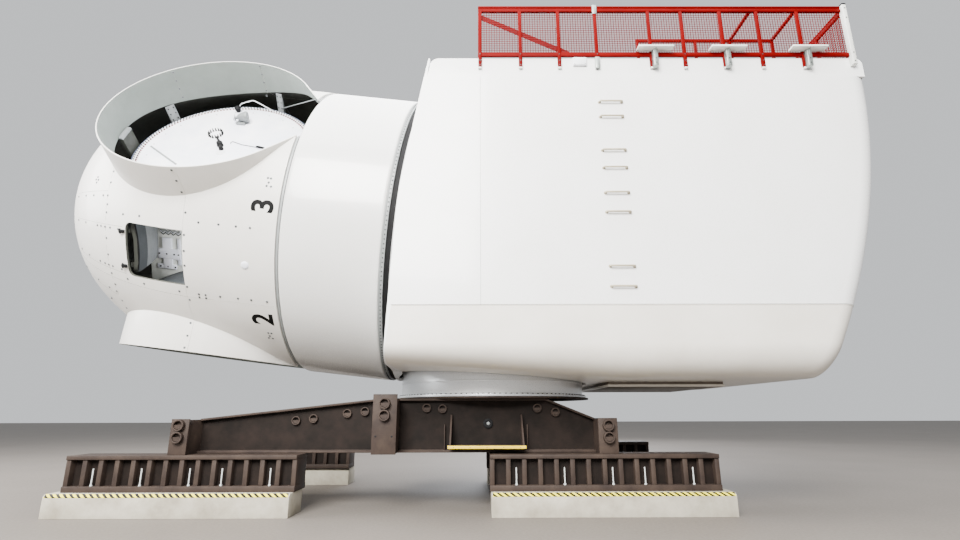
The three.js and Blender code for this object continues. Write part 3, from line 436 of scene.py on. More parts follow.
def cut(mesh, cutter, operation="DIFFERENCE"):
    """Cuts one mesh with another, or joins or intersects them."""
    holders = [bpy.data.objects.new("held", m) for m in (mesh, cutter)]
    for holder in holders:
        bpy.context.scene.collection.objects.link(holder)
    modifier = holders[0].modifiers.new("cut", "BOOLEAN")
    modifier.object = holders[1]
    modifier.operation = operation
    modifier.solver = "MANIFOLD"
    result = bpy.data.meshes.new_from_object(holders[0].evaluated_get(bpy.context.evaluated_depsgraph_get()))
    for holder in holders:
        bpy.data.objects.remove(holder)
    return result


def painted(mesh, material):
    """The same mesh with one material."""
    mesh.materials.clear()
    mesh.materials.append(material)
    return mesh


SIDES = (("near", -1), ("far", 1))


def span(side, inside, outside):
    """A range on the near (-1) or far (+1) side, from its distances to the middle."""
    return (-outside, -inside) if side < 0 else (inside, outside)


# Repeated pieces, made by geometry nodes

SIZE_SOCKETS = {int: "NodeSocketInt", float: "NodeSocketFloat", tuple: "NodeSocketVector"}


def size_tree(name, sizes):
    """A geometry tree with a named input for each size, with its group input and output."""
    tree = bpy.data.node_groups.new(name, "GeometryNodeTree")
    tree.interface.new_socket("Geometry", in_out="INPUT", socket_type="NodeSocketGeometry")
    for label, value in sizes.items():
        tree.interface.new_socket(label, in_out="INPUT", socket_type=SIZE_SOCKETS[type(value)])
    tree.interface.new_socket("Geometry", in_out="OUTPUT", socket_type="NodeSocketGeometry")
    return tree, add_node(tree, "NodeGroupInput").outputs, add_node(tree, "NodeGroupOutput")


def run_tree(tree, outlet, copies, mesh, sizes, material):
    """Ends a geometry tree with real copies in their material, and returns the plain mesh that it makes."""
    solid = add_node(tree, "GeometryNodeRealizeInstances", {0: copies})
    coated = add_node(tree, "GeometryNodeSetMaterial", {0: solid.outputs[0], "Material": material})
    tree.links.new(coated.outputs[0], outlet.inputs[0])
    holder = bpy.data.objects.new("held", mesh)
    bpy.context.scene.collection.objects.link(holder)
    modifier = holder.modifiers.new("copies", "NODES")
    modifier.node_group = tree
    for socket in tree.interface.items_tree:
        if socket.in_out == "INPUT" and socket.name in sizes:
            modifier[socket.identifier] = sizes[socket.name]
    made = bpy.data.meshes.new_from_object(holder.evaluated_get(bpy.context.evaluated_depsgraph_get()))
    bpy.data.objects.remove(holder)
    return painted(made, material)


def studs(spots, radius, height, material, sides=6, taper=0.92):
    """Bolt heads, washers or caps: one at each spot, which is a place and the direction that it faces."""
    sizes = {"Radius": float(radius), "Height": float(height), "Sides": sides, "Top": float(radius * taper)}
    tree, size, outlet = size_tree("studs", sizes)
    head = add_node(tree, "GeometryNodeMeshCone", {
        "Vertices": size["Sides"], "Radius Top": size["Top"], "Radius Bottom": size["Radius"],
        "Depth": size["Height"]}, fill_type="NGON")
    facing = add_node(tree, "GeometryNodeInputNamedAttribute", {"Name": "facing"}, data_type="FLOAT_VECTOR")
    turn = add_node(tree, "FunctionNodeAlignRotationToVector", {"Vector": facing.outputs[0]}, axis="Z")
    copies = add_node(tree, "GeometryNodeInstanceOnPoints", {
        "Points": size["Geometry"], "Instance": head.outputs[0], "Rotation": turn.outputs[0]})
    places = bpy.data.meshes.new("places")
    places.from_pydata([tuple(place) for place, direction in spots], [], [])
    facings = places.attributes.new("facing", "FLOAT_VECTOR", "POINT")
    facings.data.foreach_set("vector", [c for place, direction in spots for c in direction])
    return run_tree(tree, outlet, copies.outputs[0], places, sizes, material)


def bars(start, step, count, size, material):
    """Parallel bars or wires of one size: the first is centred on start and each next one is a step on."""
    sizes = {"Start": tuple(start), "Step": tuple(step), "Count": int(count), "Size": tuple(size)}
    tree, inlet, outlet = size_tree("bars", sizes)
    line = add_node(tree, "GeometryNodeMeshLine", {
        "Count": inlet["Count"], "Start Location": inlet["Start"], "Offset": inlet["Step"]})
    bar = add_node(tree, "GeometryNodeMeshCube", {"Size": inlet["Size"]})
    copies = add_node(tree, "GeometryNodeInstanceOnPoints",
                      {"Points": line.outputs[0], "Instance": bar.outputs[0]})
    made = run_tree(tree, outlet, copies.outputs[0], bpy.data.meshes.new("start"), sizes, material)
    made.transform(YAW)
    return made


# Turning rotor: generator, spinner, blade covers

def ring_spots(matrix, radius, height, count, outwards=False, phase=0.0):
    """Spots round the Z axis of a matrix, which face along it or outwards."""
    spots = []
    turn = matrix.to_3x3()
    for k in range(count):
        a = 2 * math.pi * (k + phase) / count
        across = Vector((math.cos(a), math.sin(a), 0))
        facing = across if outwards else Vector((0, 0, 1))
        spots.append((matrix @ (across * radius + Vector((0, 0, height))), turn @ facing))
    return spots


def on_spinner(s, angle, lift=0.0):
    """A spot on the spinner's skin at a distance s behind the blade axes and an angle round the rotor."""
    step = 0.001
    slope = (skin_radius(s + step) - skin_radius(s - step)) / (2 * step)
    facing = Vector((-slope, 0, 1)).normalized()
    frame_at = around(angle)
    return frame_at @ (Vector((s, 0, skin_radius(s))) + facing * lift), frame_at.to_3x3() @ facing


def skin_strip(path, width, lift=0.0008):
    """A narrow strip that follows the spinner's skin through points (s, angle)."""
    points = []
    faces = []
    for i, (s, angle) in enumerate(path):
        centre, facing = on_spinner(s, angle, lift)
        ahead = on_spinner(*path[min(i + 1, len(path) - 1)])[0] - on_spinner(*path[max(i - 1, 0)])[0]
        side = facing.cross(ahead).normalized() * width / 2
        points += [centre - side, centre + side]
        if i:
            faces.append([2 * i - 2, 2 * i - 1, 2 * i + 1, 2 * i])
    return from_lists(points, faces, tidy=False)


def strip_path(start, end, steps=16):
    """Points (s, angle) from start to end."""
    return [(start[0] + (end[0] - start[0]) * k / steps, start[1] + (end[1] - start[1]) * k / steps)
            for k in range(steps + 1)]


def collar_shape(steps=120):
    """The outline of a blade collar at radius 1: round, but straight towards a point behind the shell."""
    start = math.radians(COLLAR_STRAIGHT)
    angles = [start + (2 * math.pi - 2 * start) * k / steps for k in range(steps + 1)]
    return [(1 / math.cos(start), 0)] + [(math.cos(a), math.sin(a)) for a in angles]


COLLAR_SHAPE = collar_shape()


def collar_reach(x, y):
    """The radius of the collar outline that passes through a point in a blade's frame."""
    start = math.radians(COLLAR_STRAIGHT)
    if abs(math.atan2(y, x)) > start:
        return math.hypot(x, y)
    return x * math.cos(start) + abs(y) * math.sin(start)


def collar_room(blade, radius):
    """The room inside a collar outline, far past the skin."""
    return turned([(0, 1.5), (radius, 1.5), (radius, 5), (0, 5)], blade, shape=COLLAR_SHAPE)


def build_generator():
    """The generator's drum with its rear ring, and the trim between it and the spinner."""
    drum = rounded([(2.6, 2.0), (GENERATOR_RADIUS, 2.0), (GENERATOR_RADIUS, 3.87), (2.6, 3.87)], 0.07, 8)
    face = [(0, 2.0), (2.7, 2.0), (2.7, 2.05), (0, 2.05)]
    shell = merged(turned(drum, ROTOR_TURNED), turned(face, ROTOR_TURNED))
    piece("generator_shell", shell, GENERATOR_ENAMEL, "rotor", ["generator_drum"])
    ring = rounded([(2.7, 3.885), (3.235, 3.885), (3.235, 3.944), (2.7, 3.944)], 0.012)
    lip = rounded([(3.1, 3.872), (3.244, 3.872), (3.244, 3.886), (3.1, 3.886)], 0.004)
    ring_mesh = painted(merged(turned(ring, ROTOR_TURNED), turned(lip, ROTOR_TURNED)), GREY_ENAMEL)
    rim_bolts = studs(ring_spots(ROTOR_TURNED, 3.233, 3.915, 240, outwards=True), 0.014, 0.012, BLACK_OXIDE)
    piece("generator_rear_ring", merged(ring_mesh, rim_bolts), None, "rotor",
          ["generator_end_ring"])
    lip = rounded([(3.01, 1.952), (3.228, 1.952), (3.228, 1.998), (3.01, 1.998)], 0.008)
    trim = turned(lip, ROTOR_TURNED)
    for blade in BLADES:
        trim = cut(trim, collar_room(blade, COLLAR_RADIUS))
    piece("spinner_trim", trim, GREY_ENAMEL, "rotor", [f"spinner_seal_{i}" for i in (1, 2, 3)])


def hatch_plug(grow):
    """The room of the service hatch, rounded at its forward corners and square along the seam."""
    x0, x1, half = HATCH_FRONT - grow, SPINNER_SEAM + grow, 0.515 + grow
    steps = 8
    outline = [(x1, -half), (x1, half)]
    corners = rounded([(x1, half), (x0, half), (x0, -half), (x1, -half)], HATCH_CORNER, steps)
    outline += corners[steps + 1:3 * (steps + 1)]
    return prism(outline, "z", 1.5, 4.0, matrix=around(HATCH_ANGLE))


def spinner_profile(inset, rear):
    """The spinner's closed outline as (radius, s), or the same drawn in by an inset."""
    length = SPINNER_LENGTH - inset
    steps = 56
    profile = [(0, SPINNER_WIDEST - length)]
    for i in range(1, steps + 1):
        s = SPINNER_WIDEST - length * math.cos(i / steps * math.pi / 2)
        profile.append((skin_radius(s, inset), s))
    straight = (rear - SPINNER_WIDEST) / 4
    profile += [(SPINNER_RADIUS - inset, SPINNER_WIDEST + straight * k) for k in range(1, 5)]
    return profile + [(0, rear)]


def lined(mesh):
    """The spinner's shell with a lining in its collars, and dark laminate inside and round the hatch,
    darkened partly as painted shade.
    """
    mesh.materials.clear()
    for material in (SPINNER_GEL_COAT, COLLAR_LINING, LAMINATE_AND_SHADE):
        mesh.materials.append(material)
    to_rotor = ROTOR.inverted()
    to_hatch = around(HATCH_ANGLE).inverted()
    to_blades = [blade.inverted() for blade in BLADES]
    for face in mesh.polygons:
        own = to_rotor @ face.center
        depth = skin_radius(own.x) - math.hypot(own.y, own.z)
        at = to_hatch @ face.center
        in_hatch = at.z > 0 and abs(at.y) < 0.53 and -1 < at.x < SPINNER_SEAM - 0.001
        # Faces under the skin and round the hatch take the laminate, darkened partly as painted shade
        if depth > 0.8 * SPINNER_WALL or (in_hatch and depth > 0.004):
            face.material_index = 2
        for to_blade in to_blades:
            at = to_blade @ face.center
            facing = to_blade.to_3x3() @ face.normal
            inside = at.z > 1.5 and collar_reach(at.x, at.y) < COLLAR_BORE + 0.003
            if inside and facing.x * at.x + facing.y * at.y < -0.5 * math.hypot(at.x, at.y):
                face.material_index = 1
    return mesh


def build_spinner():
    """The spinner's shell in one mesh: its skin, the blade collars, the hatch and the seams' grooves."""
    outside = turned(spinner_profile(0, SPINNER_REAR), ROTOR_TURNED, 240)
    deep = turned(spinner_profile(SPINNER_WALL + 0.02, SPINNER_REAR + 0.05), ROTOR_TURNED, 120)
    rear_room = prism([(-5, -5), (5, -5), (5, 5), (-5, 5)], "x", SPINNER_REAR - 0.001, 5, matrix=ROTOR)
    shell = cut(outside, turned(spinner_profile(SPINNER_WALL, SPINNER_REAR + 0.05), ROTOR_TURNED, 240))
    for blade in BLADES:
        shell = cut(shell, collar_room(blade, COLLAR_BORE + 0.012))
    foot = 2.2
    wall = [(COLLAR_BORE, foot), (COLLAR_RADIUS, foot),
            (COLLAR_RADIUS, COLLAR_RIM), (COLLAR_BORE, COLLAR_RIM)]
    for blade in BLADES:
        collar = cut(turned(rounded(wall, 0.012), blade, shape=COLLAR_SHAPE), deep)
        shell = cut(shell, cut(collar, rear_room), "UNION")
    shell = cut(shell, hatch_plug(0.005))
    groove = 0.004
    seam = [(0, SPINNER_SEAM), (5, SPINNER_SEAM), (5, SPINNER_SEAM + groove), (0, SPINNER_SEAM + groove)]
    shell = cut(shell, turned(seam, ROTOR_TURNED, 24))
    slot = [(-groove / 2, 0.02), (groove / 2, 0.02), (groove / 2, 5), (-groove / 2, 5)]
    for k in range(3):
        shell = cut(shell, prism(slot, "x", -4, 2.5, matrix=around(ROTOR_ANGLE - 48 + 120 * k)))
    names = [f"spinner_{part}_{i}" for part in ("front", "rear") for i in (1, 2, 3)]
    piece("spinner_shell", lined(shell), None, "rotor", names, smooth=30)


# Bolts and seams of a third of the spinner, as (s, angle) with the angle counted from its first blade
LONG_ROWS = [(s, 46.1) for s in (-1.485, -1.05, -0.67, 0.53, 0.9, 1.22, 1.48)]
LONG_ROWS += [(s, 70.4) for s in (-1.06, -0.67, 0.09, 0.48, 0.61, 0.89, 1.23, 1.48, 1.78)]
LONG_ROWS += [(0.48, 71.6), (0.61, 71.6), (-1.485, 70.4)]
NOSE_ROWS = [(s, 51.7) for s in (-2.49, -2.15, -1.74, -1.63, -1.51, -1.37, -1.16)]
NOSE_ROWS += [(s, 66.9) for s in (-2.49, -2.15, -1.77, -1.62, -1.51, -1.40, -1.16)]
NOSE_ROWS += [(s, 39.6) for s in (-2.59, -2.22, -1.93, -1.63, -1.5)]
NOSE_ROWS += [(s, 79.4) for s in (-2.59, -2.1, -1.74, -1.53)]
NOSE_ROWS += [(-1.48, angle) for angle in (30.0, 34.5, 43.0, 56.0, 62.5, 75.5, 84.0, 88.5)]
NOSE_ROWS += [(-1.92, 31.6), (-1.96, 32.6), (-1.88, 32.9), (-1.92, 34.0), (-1.94, 89.0), (-1.9, 87.8)]
SEAM_ROW = [(0.268, angle) for angle in (43.4, 50.6, 55.8, 60.7, 68.2, 73.2)]
REAR_CLUSTERS = [(1.67, 29.4), (1.725, 29.5), (1.70, 30.9), (1.675, 32.1), (1.755, 32.2)]
REAR_CLUSTERS += [(1.69, 84.1), (1.75, 84.1), (1.70, 85.6), (1.67, 86.7), (1.75, 86.8)]
NOSE_SEAMS = [((-2.62, 37.8), (-1.51, 37.8)), ((-2.52, 50.6), (-1.06, 50.6)), ((-2.52, 68.2), (-1.06, 68.2)),
              ((-2.62, 81.2), (-1.53, 81.2)), ((-1.5, 28.0), (-1.5, 92.0))]


# Numerals beside the blades, as (text, s, angle)
NUMERALS = (("3", 1.66, 100.25), ("2", 1.64, 139.25), ("2", 1.66, 220.25), ("1", 1.64, 259.25),
            ("1", 1.66, 340.25), ("3", 1.64, 19.25))


def build_spinner_fittings():
    """Bolts, seams, lamp caps and numerals on the spinner's skin and its blade collars."""
    bolts = []
    seams = []
    for blade_angle in (ROTOR_ANGLE, ROTOR_ANGLE + 120, ROTOR_ANGLE + 240):
        for s, angle in LONG_ROWS + NOSE_ROWS + SEAM_ROW + REAR_CLUSTERS:
            bolts.append(on_spinner(s, blade_angle + angle))
        for start, end in NOSE_SEAMS:
            path = [(s, blade_angle + angle) for s, angle in strip_path(start, end)]
            seams.append(skin_strip(path, 0.006))
    out = Vector((1, 0, 0))
    for blade in BLADES:
        for angle in (-84, 84):
            at = blade @ Matrix.Rotation(math.radians(angle), 4, "Z")
            for height in (2.38, 2.62, 2.87, 3.1):
                bolts.append((at @ Vector((COLLAR_RADIUS, 0, height)), at.to_3x3() @ out))
        for angle in (-137, -82.7, 82.7, 137):
            at = blade @ Matrix.Rotation(math.radians(angle), 4, "Z")
            for height in (2.53, 2.73, 2.92, 3.11):
                bolts.append((at @ Vector((COLLAR_BORE, 0, height)), at.to_3x3() @ -out))
            seams.append(block((COLLAR_BORE - 0.0012, COLLAR_BORE + 0.01), (-0.003, 0.003), (2.5, 3.15),
                               matrix=at))
    heads = studs(bolts, 0.0155, 0.01, DULL_ZINC)
    washers = studs(bolts, 0.024, 0.003, ZINC_PAINT_AND_DOOR_SHADE, sides=12)
    piece("spinner_bolts", merged(washers, heads), None, "rotor")
    piece("spinner_seams", painted(merged(*seams), SEAM_SEALANT), None, "rotor", smooth=0)
    cap = [(0, 0.024), (0.04, 0.022), (0.068, 0.014), (0.078, 0.0), (0, 0)]
    caps = []
    for k in range(3):
        place, facing = on_spinner(1.406, 119.8 + 120 * k, -0.004)
        stand = Matrix.Translation(place) @ facing.to_track_quat("Z", "Y").to_matrix().to_4x4()
        caps.append(turned(cap, stand, 32))
    piece("lamp_caps", merged(*caps), COVER_BOARD, "rotor", smooth=40)
    for text, s, angle in NUMERALS:
        piece(f"numeral_{text}_at_{int(angle)}", numeral(text, 0.42, s, angle), BLACK_LACQUER, "rotor",
              smooth=0)


def numeral(text, height, s, angle):
    """A numeral on the spinner's skin with its top towards the nose."""
    curve = bpy.data.curves.new("numeral", "FONT")
    curve.body = text
    curve.align_x = "CENTER"
    curve.align_y = "CENTER"
    curve.offset = 0.026
    holder = bpy.data.objects.new("held", curve)
    bpy.context.scene.collection.objects.link(holder)
    mesh = bpy.data.meshes.new_from_object(holder.evaluated_get(bpy.context.evaluated_depsgraph_get()))
    bpy.data.objects.remove(holder)
    ys = [v.co.y for v in mesh.vertices]
    xs = [v.co.x for v in mesh.vertices]
    middle = Vector(((min(xs) + max(xs)) / 2, (min(ys) + max(ys)) / 2, 0))
    scale = height / (max(ys) - min(ys))
    shape = bmesh.new()
    shape.from_mesh(mesh)
    for v in shape.verts:
        v.co = (v.co - middle) * scale
    for direction in (Vector((1, 0, 0)), Vector((0, 1, 0))):
        for k in range(-6, 7):
            geometry = shape.verts[:] + shape.edges[:] + shape.faces[:]
            bmesh.ops.bisect_plane(shape, geom=geometry, plane_co=direction * (k * 0.035), plane_no=direction)
    for v in shape.verts:
        at = s - v.co.y
        v.co = on_spinner(at, angle - math.degrees(v.co.x / skin_radius(at)), 0.0012)[0]
    shape.normal_update()
    facing = on_spinner(s, angle)[1]
    if sum(f.normal.dot(facing) for f in shape.faces) < 0:
        bmesh.ops.reverse_faces(shape, faces=shape.faces[:])
    shape.to_mesh(mesh)
    shape.free()
    return mesh


def hatch_swing():
    """The hatch's own frame with the door swung open inwards about its pivot, ahead of the hatch."""
    pivot = Matrix.Translation((HATCH_FRONT - 0.005, 0, skin_radius(HATCH_FRONT) - 0.125))
    swing = Matrix.Rotation(math.radians(HATCH_OPEN), 4, "Y")
    return around(HATCH_ANGLE) @ pivot @ swing @ pivot.inverted()


def door_half(s):
    """Half the width of the sheets on the hatch door, which follow the door's rounded corners."""
    past_corner = max(0.0, HATCH_FRONT + HATCH_CORNER - s)
    return 0.365 + math.sqrt(HATCH_CORNER ** 2 - past_corner ** 2)


def door_sheet(start, end, lift, matrix):
    """A sheet laid over the hatch door, curved like the spinner's skin and sunk a little into the door."""
    rows, columns = 16, 16
    points = []
    for height in (-0.009, lift):
        for i in range(rows + 1):
            s = start + (end - start) * i / rows
            for k in range(columns + 1):
                y = door_half(s) * (2 * k / columns - 1)
                points.append((s, y, math.sqrt(skin_radius(s) ** 2 - y * y) + height))
    wide = columns + 1
    layer = (rows + 1) * wide
    faces = []
    for i in range(rows):
        for k in range(columns):
            corner = i * wide + k
            square = [corner, corner + 1, corner + wide + 1, corner + wide]
            faces += [square, [layer + n for n in square]]
    edge = list(range(wide)) + [i * wide + columns for i in range(1, rows + 1)]
    edge += [rows * wide + k for k in range(columns - 1, -1, -1)]
    edge += [i * wide for i in range(rows - 1, 0, -1)]
    faces += [[edge[n - 1], edge[n], layer + edge[n], layer + edge[n - 1]] for n in range(len(edge))]
    return from_lists(points, faces, matrix)


def build_hatch_fittings():
    """The hatch's hinge arms, and the sheets on its door: a grey board and a darker strip by the hinge,
    painted shade over the door's white face, and a black seal line.
    """
    at = around(HATCH_ANGLE)
    parts = []
    for y in (-0.335, 0.335):
        arm = [(-1.115, -0.02), (-0.994, -0.02), (-0.994, 0.024), (-1.01, 0.034), (-1.10, 0.03)]
        lift = skin_radius(-1.05)
        parts.append(prism([(s, r + lift) for s, r in arm], "y", y - 0.03, y + 0.03, 0.006, at))
        parts.append(rod([(-1.08, y - 0.05, lift + 0.01), (-1.08, y + 0.05, lift + 0.01)], 0.016, 12, at))
    piece("hatch_hinge_arms", merged(*parts), BLACK_OXIDE, "rotor", smooth=50)
    swung = hatch_swing()
    # Painted shade over the door's white face: grey on the board, darker on the strip towards the hinge
    board = painted(door_sheet(-0.56, 0.2, 0.003, swung), ZINC_PAINT_AND_DOOR_SHADE)
    strip = painted(door_sheet(-0.94, -0.5602, 0.002, swung), PRIMED_IRON_AND_DOOR_SHADE)
    line = painted(door_sheet(-0.97, -0.9402, 0.004, swung), SEAL_RUBBER_AND_HOLE_SHADE)
    piece("hatch_door_shade_sheets", merged(board, strip, line), None, "hatch", smooth=50)


def build_hub_cabinet():
    """The cabinet on the hub that shows through the hatch, with its frames, screws and clipped cables."""
    at = around(HATCH_ANGLE)
    body = painted(block((-1.5, -0.6), (-1.12, 0.24), (1.2, 1.6), 0.02, at), CABINET_ENAMEL)
    lip = painted(block((-1.51, -0.59), (-1.13, 0.25), (1.57, 1.585), 0.006, at), GREY_ENAMEL)
    frames = [
        block((-1.19, -0.99), (-0.755, -0.07), (1.595, 1.645), 0.012, at),
        block((-1.29, -0.8), (-0.53, -0.31), (1.595, 1.655), 0.012, at),
        block((-1.335, -0.91), (-0.76, -0.66), (1.595, 1.635), 0.012, at),
        block((-0.87, -0.8), (-0.66, -0.07), (1.595, 1.635), 0.012, at),
    ]
    frames = painted(merged(*frames), COVER_BOARD)
    cables = []
    for k in range(3):
        path = [(-1.22 + 0.055 * n, 0.02 + 0.03 * k + 0.025 * (-1) ** n, 1.62 + 0.008 * k) for n in range(9)]
        cables.append(painted(rod(path, 0.01, 8, at), (SEAL_RUBBER_AND_HOLE_SHADE, COVER_RING, ZINC_PAINT_AND_DOOR_SHADE)[k]))
    spots = []
    for s in (-1.25, -1.09, -0.93, -0.835):
        for y, top in ((-0.42, 1.655), (-0.71, 1.635)):
            if s < -0.9 or y > -0.5:
                spots.append((at @ Vector((s, y, top)), at.to_3x3() @ Vector((0, 0, 1))))
    screws = studs(spots, 0.018, 0.012, BLACK_OXIDE)
    piece("hub_cabinet", merged(body, lip, frames, *cables, screws), None, "rotor", smooth=50)


def flat_bar(start, end, width, thick, matrix):
    """A flat bar from start to end, with its width as level as it can be."""
    start, end = Vector(start), Vector(end)
    along = (end - start).normalized()
    across = along.cross(Vector((0, 0, 1))).normalized()
    turn = Matrix((along, across, along.cross(across))).transposed().to_4x4()
    return block((0, (end - start).length), (-width / 2, width / 2), (-thick / 2, thick / 2), 0.003,
                 matrix @ Matrix.Translation(start) @ turn)


def build_blade_brackets():
    """Angle brackets from each bearing flange up to the lower edge of the blade collar's wall."""
    pale = []
    dark = []
    bolts = []
    wall = COLLAR_BORE - 0.003
    for blade in BLADES:
        for angle, width, top in ((147, 0.2, 2.45), (73, 0.15, 2.52), (-140, 0.22, 2.46), (-73, 0.22, 2.46)):
            at = blade @ Matrix.Rotation(math.radians(angle), 4, "Z")
            outline = [(1.79, 1.905), (1.862, 1.905), (wall - 0.02, top), (wall, top),
                       (wall, 1.89), (1.79, 1.89)]
            pale.append(prism(outline, "y", -width / 2, width / 2, 0.003, at))
            slope = Vector((top - 1.905, 0, 1.862 - wall + 0.02)).normalized()
            for share in (0.9, 0.68, 0.46):
                place = Vector((1.862, 0, 1.905)).lerp(Vector((wall - 0.02, 0, top)), share)
                for y in (-0.3 * width, 0.3 * width):
                    bolts.append((at @ (place + Vector((0, y, 0))), at.to_3x3() @ -slope))
        at = blade @ Matrix.Rotation(math.radians(-174), 4, "Z")
        box = [(1.79, 1.89), (1.865, 1.905), (1.885, 2.48), (wall, 2.5), (wall, 1.89)]
        dark.append(prism(box, "y", -0.2, 0.2, 0.008, at))
        lid = [(1.883, 2.482), (1.9, 2.52), (wall, 2.53), (wall, 2.502)]
        pale.append(prism(lid, "y", -0.205, 0.205, matrix=at))
        pale.append(flat_bar((0.628, 1.813, 2.2), (1.955, 0.72, 3.15), 0.05, 0.012, blade))
    frames = merged(painted(merged(*pale), ZINC_PAINT_AND_DOOR_SHADE), painted(merged(*dark), DARK_GREY_AND_DOOR_SHADE))
    bolted = merged(frames, studs(bolts, 0.016, 0.01, BLACK_OXIDE))
    piece("collar_brackets", bolted, None, "rotor", smooth=50)


def cover_plates(blade):
    """The board over the bearing, the bolted ring and dark lip round it, and a flat bar across a joint."""
    board = [(0, 2.05), (1.69, 2.05), (1.69, DISC_TOP - 0.005), (1.685, DISC_TOP), (0, DISC_TOP)]
    flange = rounded([(1.69, 2.04), (1.81, 2.04), (1.81, 2.144), (1.69, 2.144)], 0.006)
    lip = rounded([(1.8, 2.037), (1.849, 2.037), (1.849, 2.135), (1.8, 2.135)], 0.012)
    across = blade @ Matrix.Translation((-1.166, -0.354, 0)) @ Matrix.Rotation(math.radians(-33), 4, "Z")
    joint = block((-0.49, 0.49), (-0.018, 0.018), (2.15, 2.166), matrix=across)
    return [
        painted(turned(board, blade), COVER_BOARD),
        painted(turned(flange, blade), COVER_RING),
        painted(turned(lip, blade), BEARING_LIP),
        painted(joint, ZINC_PAINT_AND_DOOR_SHADE),
        studs(ring_spots(blade, 1.782, 2.143, 156), 0.015, 0.018, BLACK_OXIDE),
        studs(ring_spots(blade, 1.728, 2.143, 156, phase=0.5), 0.024, 0.004, RED_MARKER, sides=10),
        studs(ring_spots(blade, 1.728, 2.145, 156, phase=0.5), 0.015, 0.02, BLACK_OXIDE),
        studs(ring_spots(blade, 1.55, 2.155, 24), 0.014, 0.006, GREY_ENAMEL),
    ]


def cover_motor(blade):
    """The small motor on its foot, with a knob beside it and a bent stay over it."""
    place = Matrix.Translation((-0.23, 1.08, DISC_TOP + 0.13))
    motor = blade @ place @ Matrix.Rotation(0.3, 4, "Z") @ ALONG_X
    cone = rounded([(0, 0.09), (0.06, 0.09), (0.125, 0.27), (0.115, 0.31), (0, 0.31)], 0.015)
    shaft = [(0, 0.02), (0.035, 0.02), (0.035, 0.1), (0, 0.1)]
    plate = rounded([(0, 0), (0.085, 0), (0.085, 0.03), (0, 0.03)], 0.01)
    foot = block((-0.17, 0.02), (1.0, 1.16), (2.15, 2.2), 0.008, blade)
    knob = [(0, 0), (0.045, 0), (0.05, 0.03), (0.07, 0.07), (0.07, 0.11), (0.04, 0.14), (0, 0.15)]
    stay = [(-0.33, 1.6, 2.16), (-0.32, 1.61, 2.26), (-0.26, 1.62, 2.33), (0.0, 1.64, 2.42),
            (0.06, 1.645, 2.42), (0.2, 1.65, 2.34), (0.42, 1.66, 2.2), (0.45, 1.66, 2.15)]
    return [
        painted(merged(turned(cone, motor, 40), turned(shaft, motor, 24)), ZINC_PAINT_AND_DOOR_SHADE),
        painted(turned(plate, motor, 32), COVER_RING),
        painted(foot, ZINC_PAINT_AND_DOOR_SHADE),
        painted(turned(knob, blade @ Matrix.Translation((-0.35, 1.56, 2.15)), 24), SEAL_RUBBER_AND_HOLE_SHADE),
        painted(rod(stay, 0.011, 10, blade), COVER_RING),
    ]


def cover_button(blade, x, y, foot, top, height, soft):
    """A low round button on the board, as wide as foot at its base and as top at its crown."""
    outline = rounded([(0, 2.15), (foot, 2.15), (top, height), (0, height)], soft)
    return turned(outline, blade @ Matrix.Translation((x, y, 0)), 24)


def cover_handle(blade):
    """The spiked ring with its handle, and the thin rigid probe with its grip."""
    ring = blade @ Matrix.Translation((-0.449, 0.567, 0))
    handle = [(-0.37, 0.44, 2.17), (-0.31, 0.36, 2.21), (-0.22, 0.24, 2.23), (-0.13, 0.1, 2.22),
              (-0.1, 0.04, 2.17)]
    probe = [(0.02, 0.25, 2.165), (0.0, 0.3, 2.17), (0.03, 0.34, 2.17), (0.09, 0.32, 2.168),
             (0.26, 0.26, 2.166), (0.72, 0.2, 2.166)]
    grip = [(0.6, 0.215, 2.178), (0.66, 0.21, 2.19), (0.78, 0.19, 2.18)]
    black = merged(rod(handle, 0.026, 12, blade), cover_button(blade, -0.17, 0.16, 0.07, 0.06, 2.26, 0.015),
                   cover_button(blade, -0.09, 0.03, 0.05, 0.045, 2.24, 0.012))
    return [
        studs(ring_spots(ring, 0.145, 2.155, 16), 0.022, 0.075, SEAL_RUBBER_AND_HOLE_SHADE, sides=8, taper=0.4),
        painted(black, SEAL_RUBBER_AND_HOLE_SHADE),
        painted(cover_button(blade, -0.07, -0.06, 0.1, 0.1, 2.162, 0.004), COVER_RING),
        painted(rod(probe, 0.007, 8, blade), BLACK_OXIDE),
        painted(rod(grip, 0.022, 10, blade), SEAL_RUBBER_AND_HOLE_SHADE),
    ]


def build_blade_covers():
    """The white cover over each blade bearing, which turns with its blade root."""
    for i, blade in enumerate(BLADES):
        parts = cover_plates(blade) + cover_motor(blade) + cover_handle(blade)
        piece(f"blade_cover_{i + 1}", merged(*parts), None, f"blade_root_{i + 1}",
              [f"blade_plate_{i + 1}"])


# Canopy

def canopy_front(z, behind):
    """Where a plane some way behind the generator's rear edge, square to the shaft, meets a height."""
    return GENERATOR_X + (z - GENERATOR_Z) * math.tan(TILT) + behind / math.cos(TILT)


def canopy_rear(z):
    """The curved rear wall, which comes forward towards its foot."""
    return CANOPY_REAR - 1.555 * max(0.0, (CANOPY_TOP - z) / 5.65) ** 1.97


def rotor_room():
    """The room of the generator and the hood's bore, cut out of the canopy."""
    radius = GENERATOR_RADIUS - 0.0097
    return turned([(0, 3.5), (radius, 3.5), (radius, HOOD_END), (0, HOOD_END)], ROTOR_TURNED)


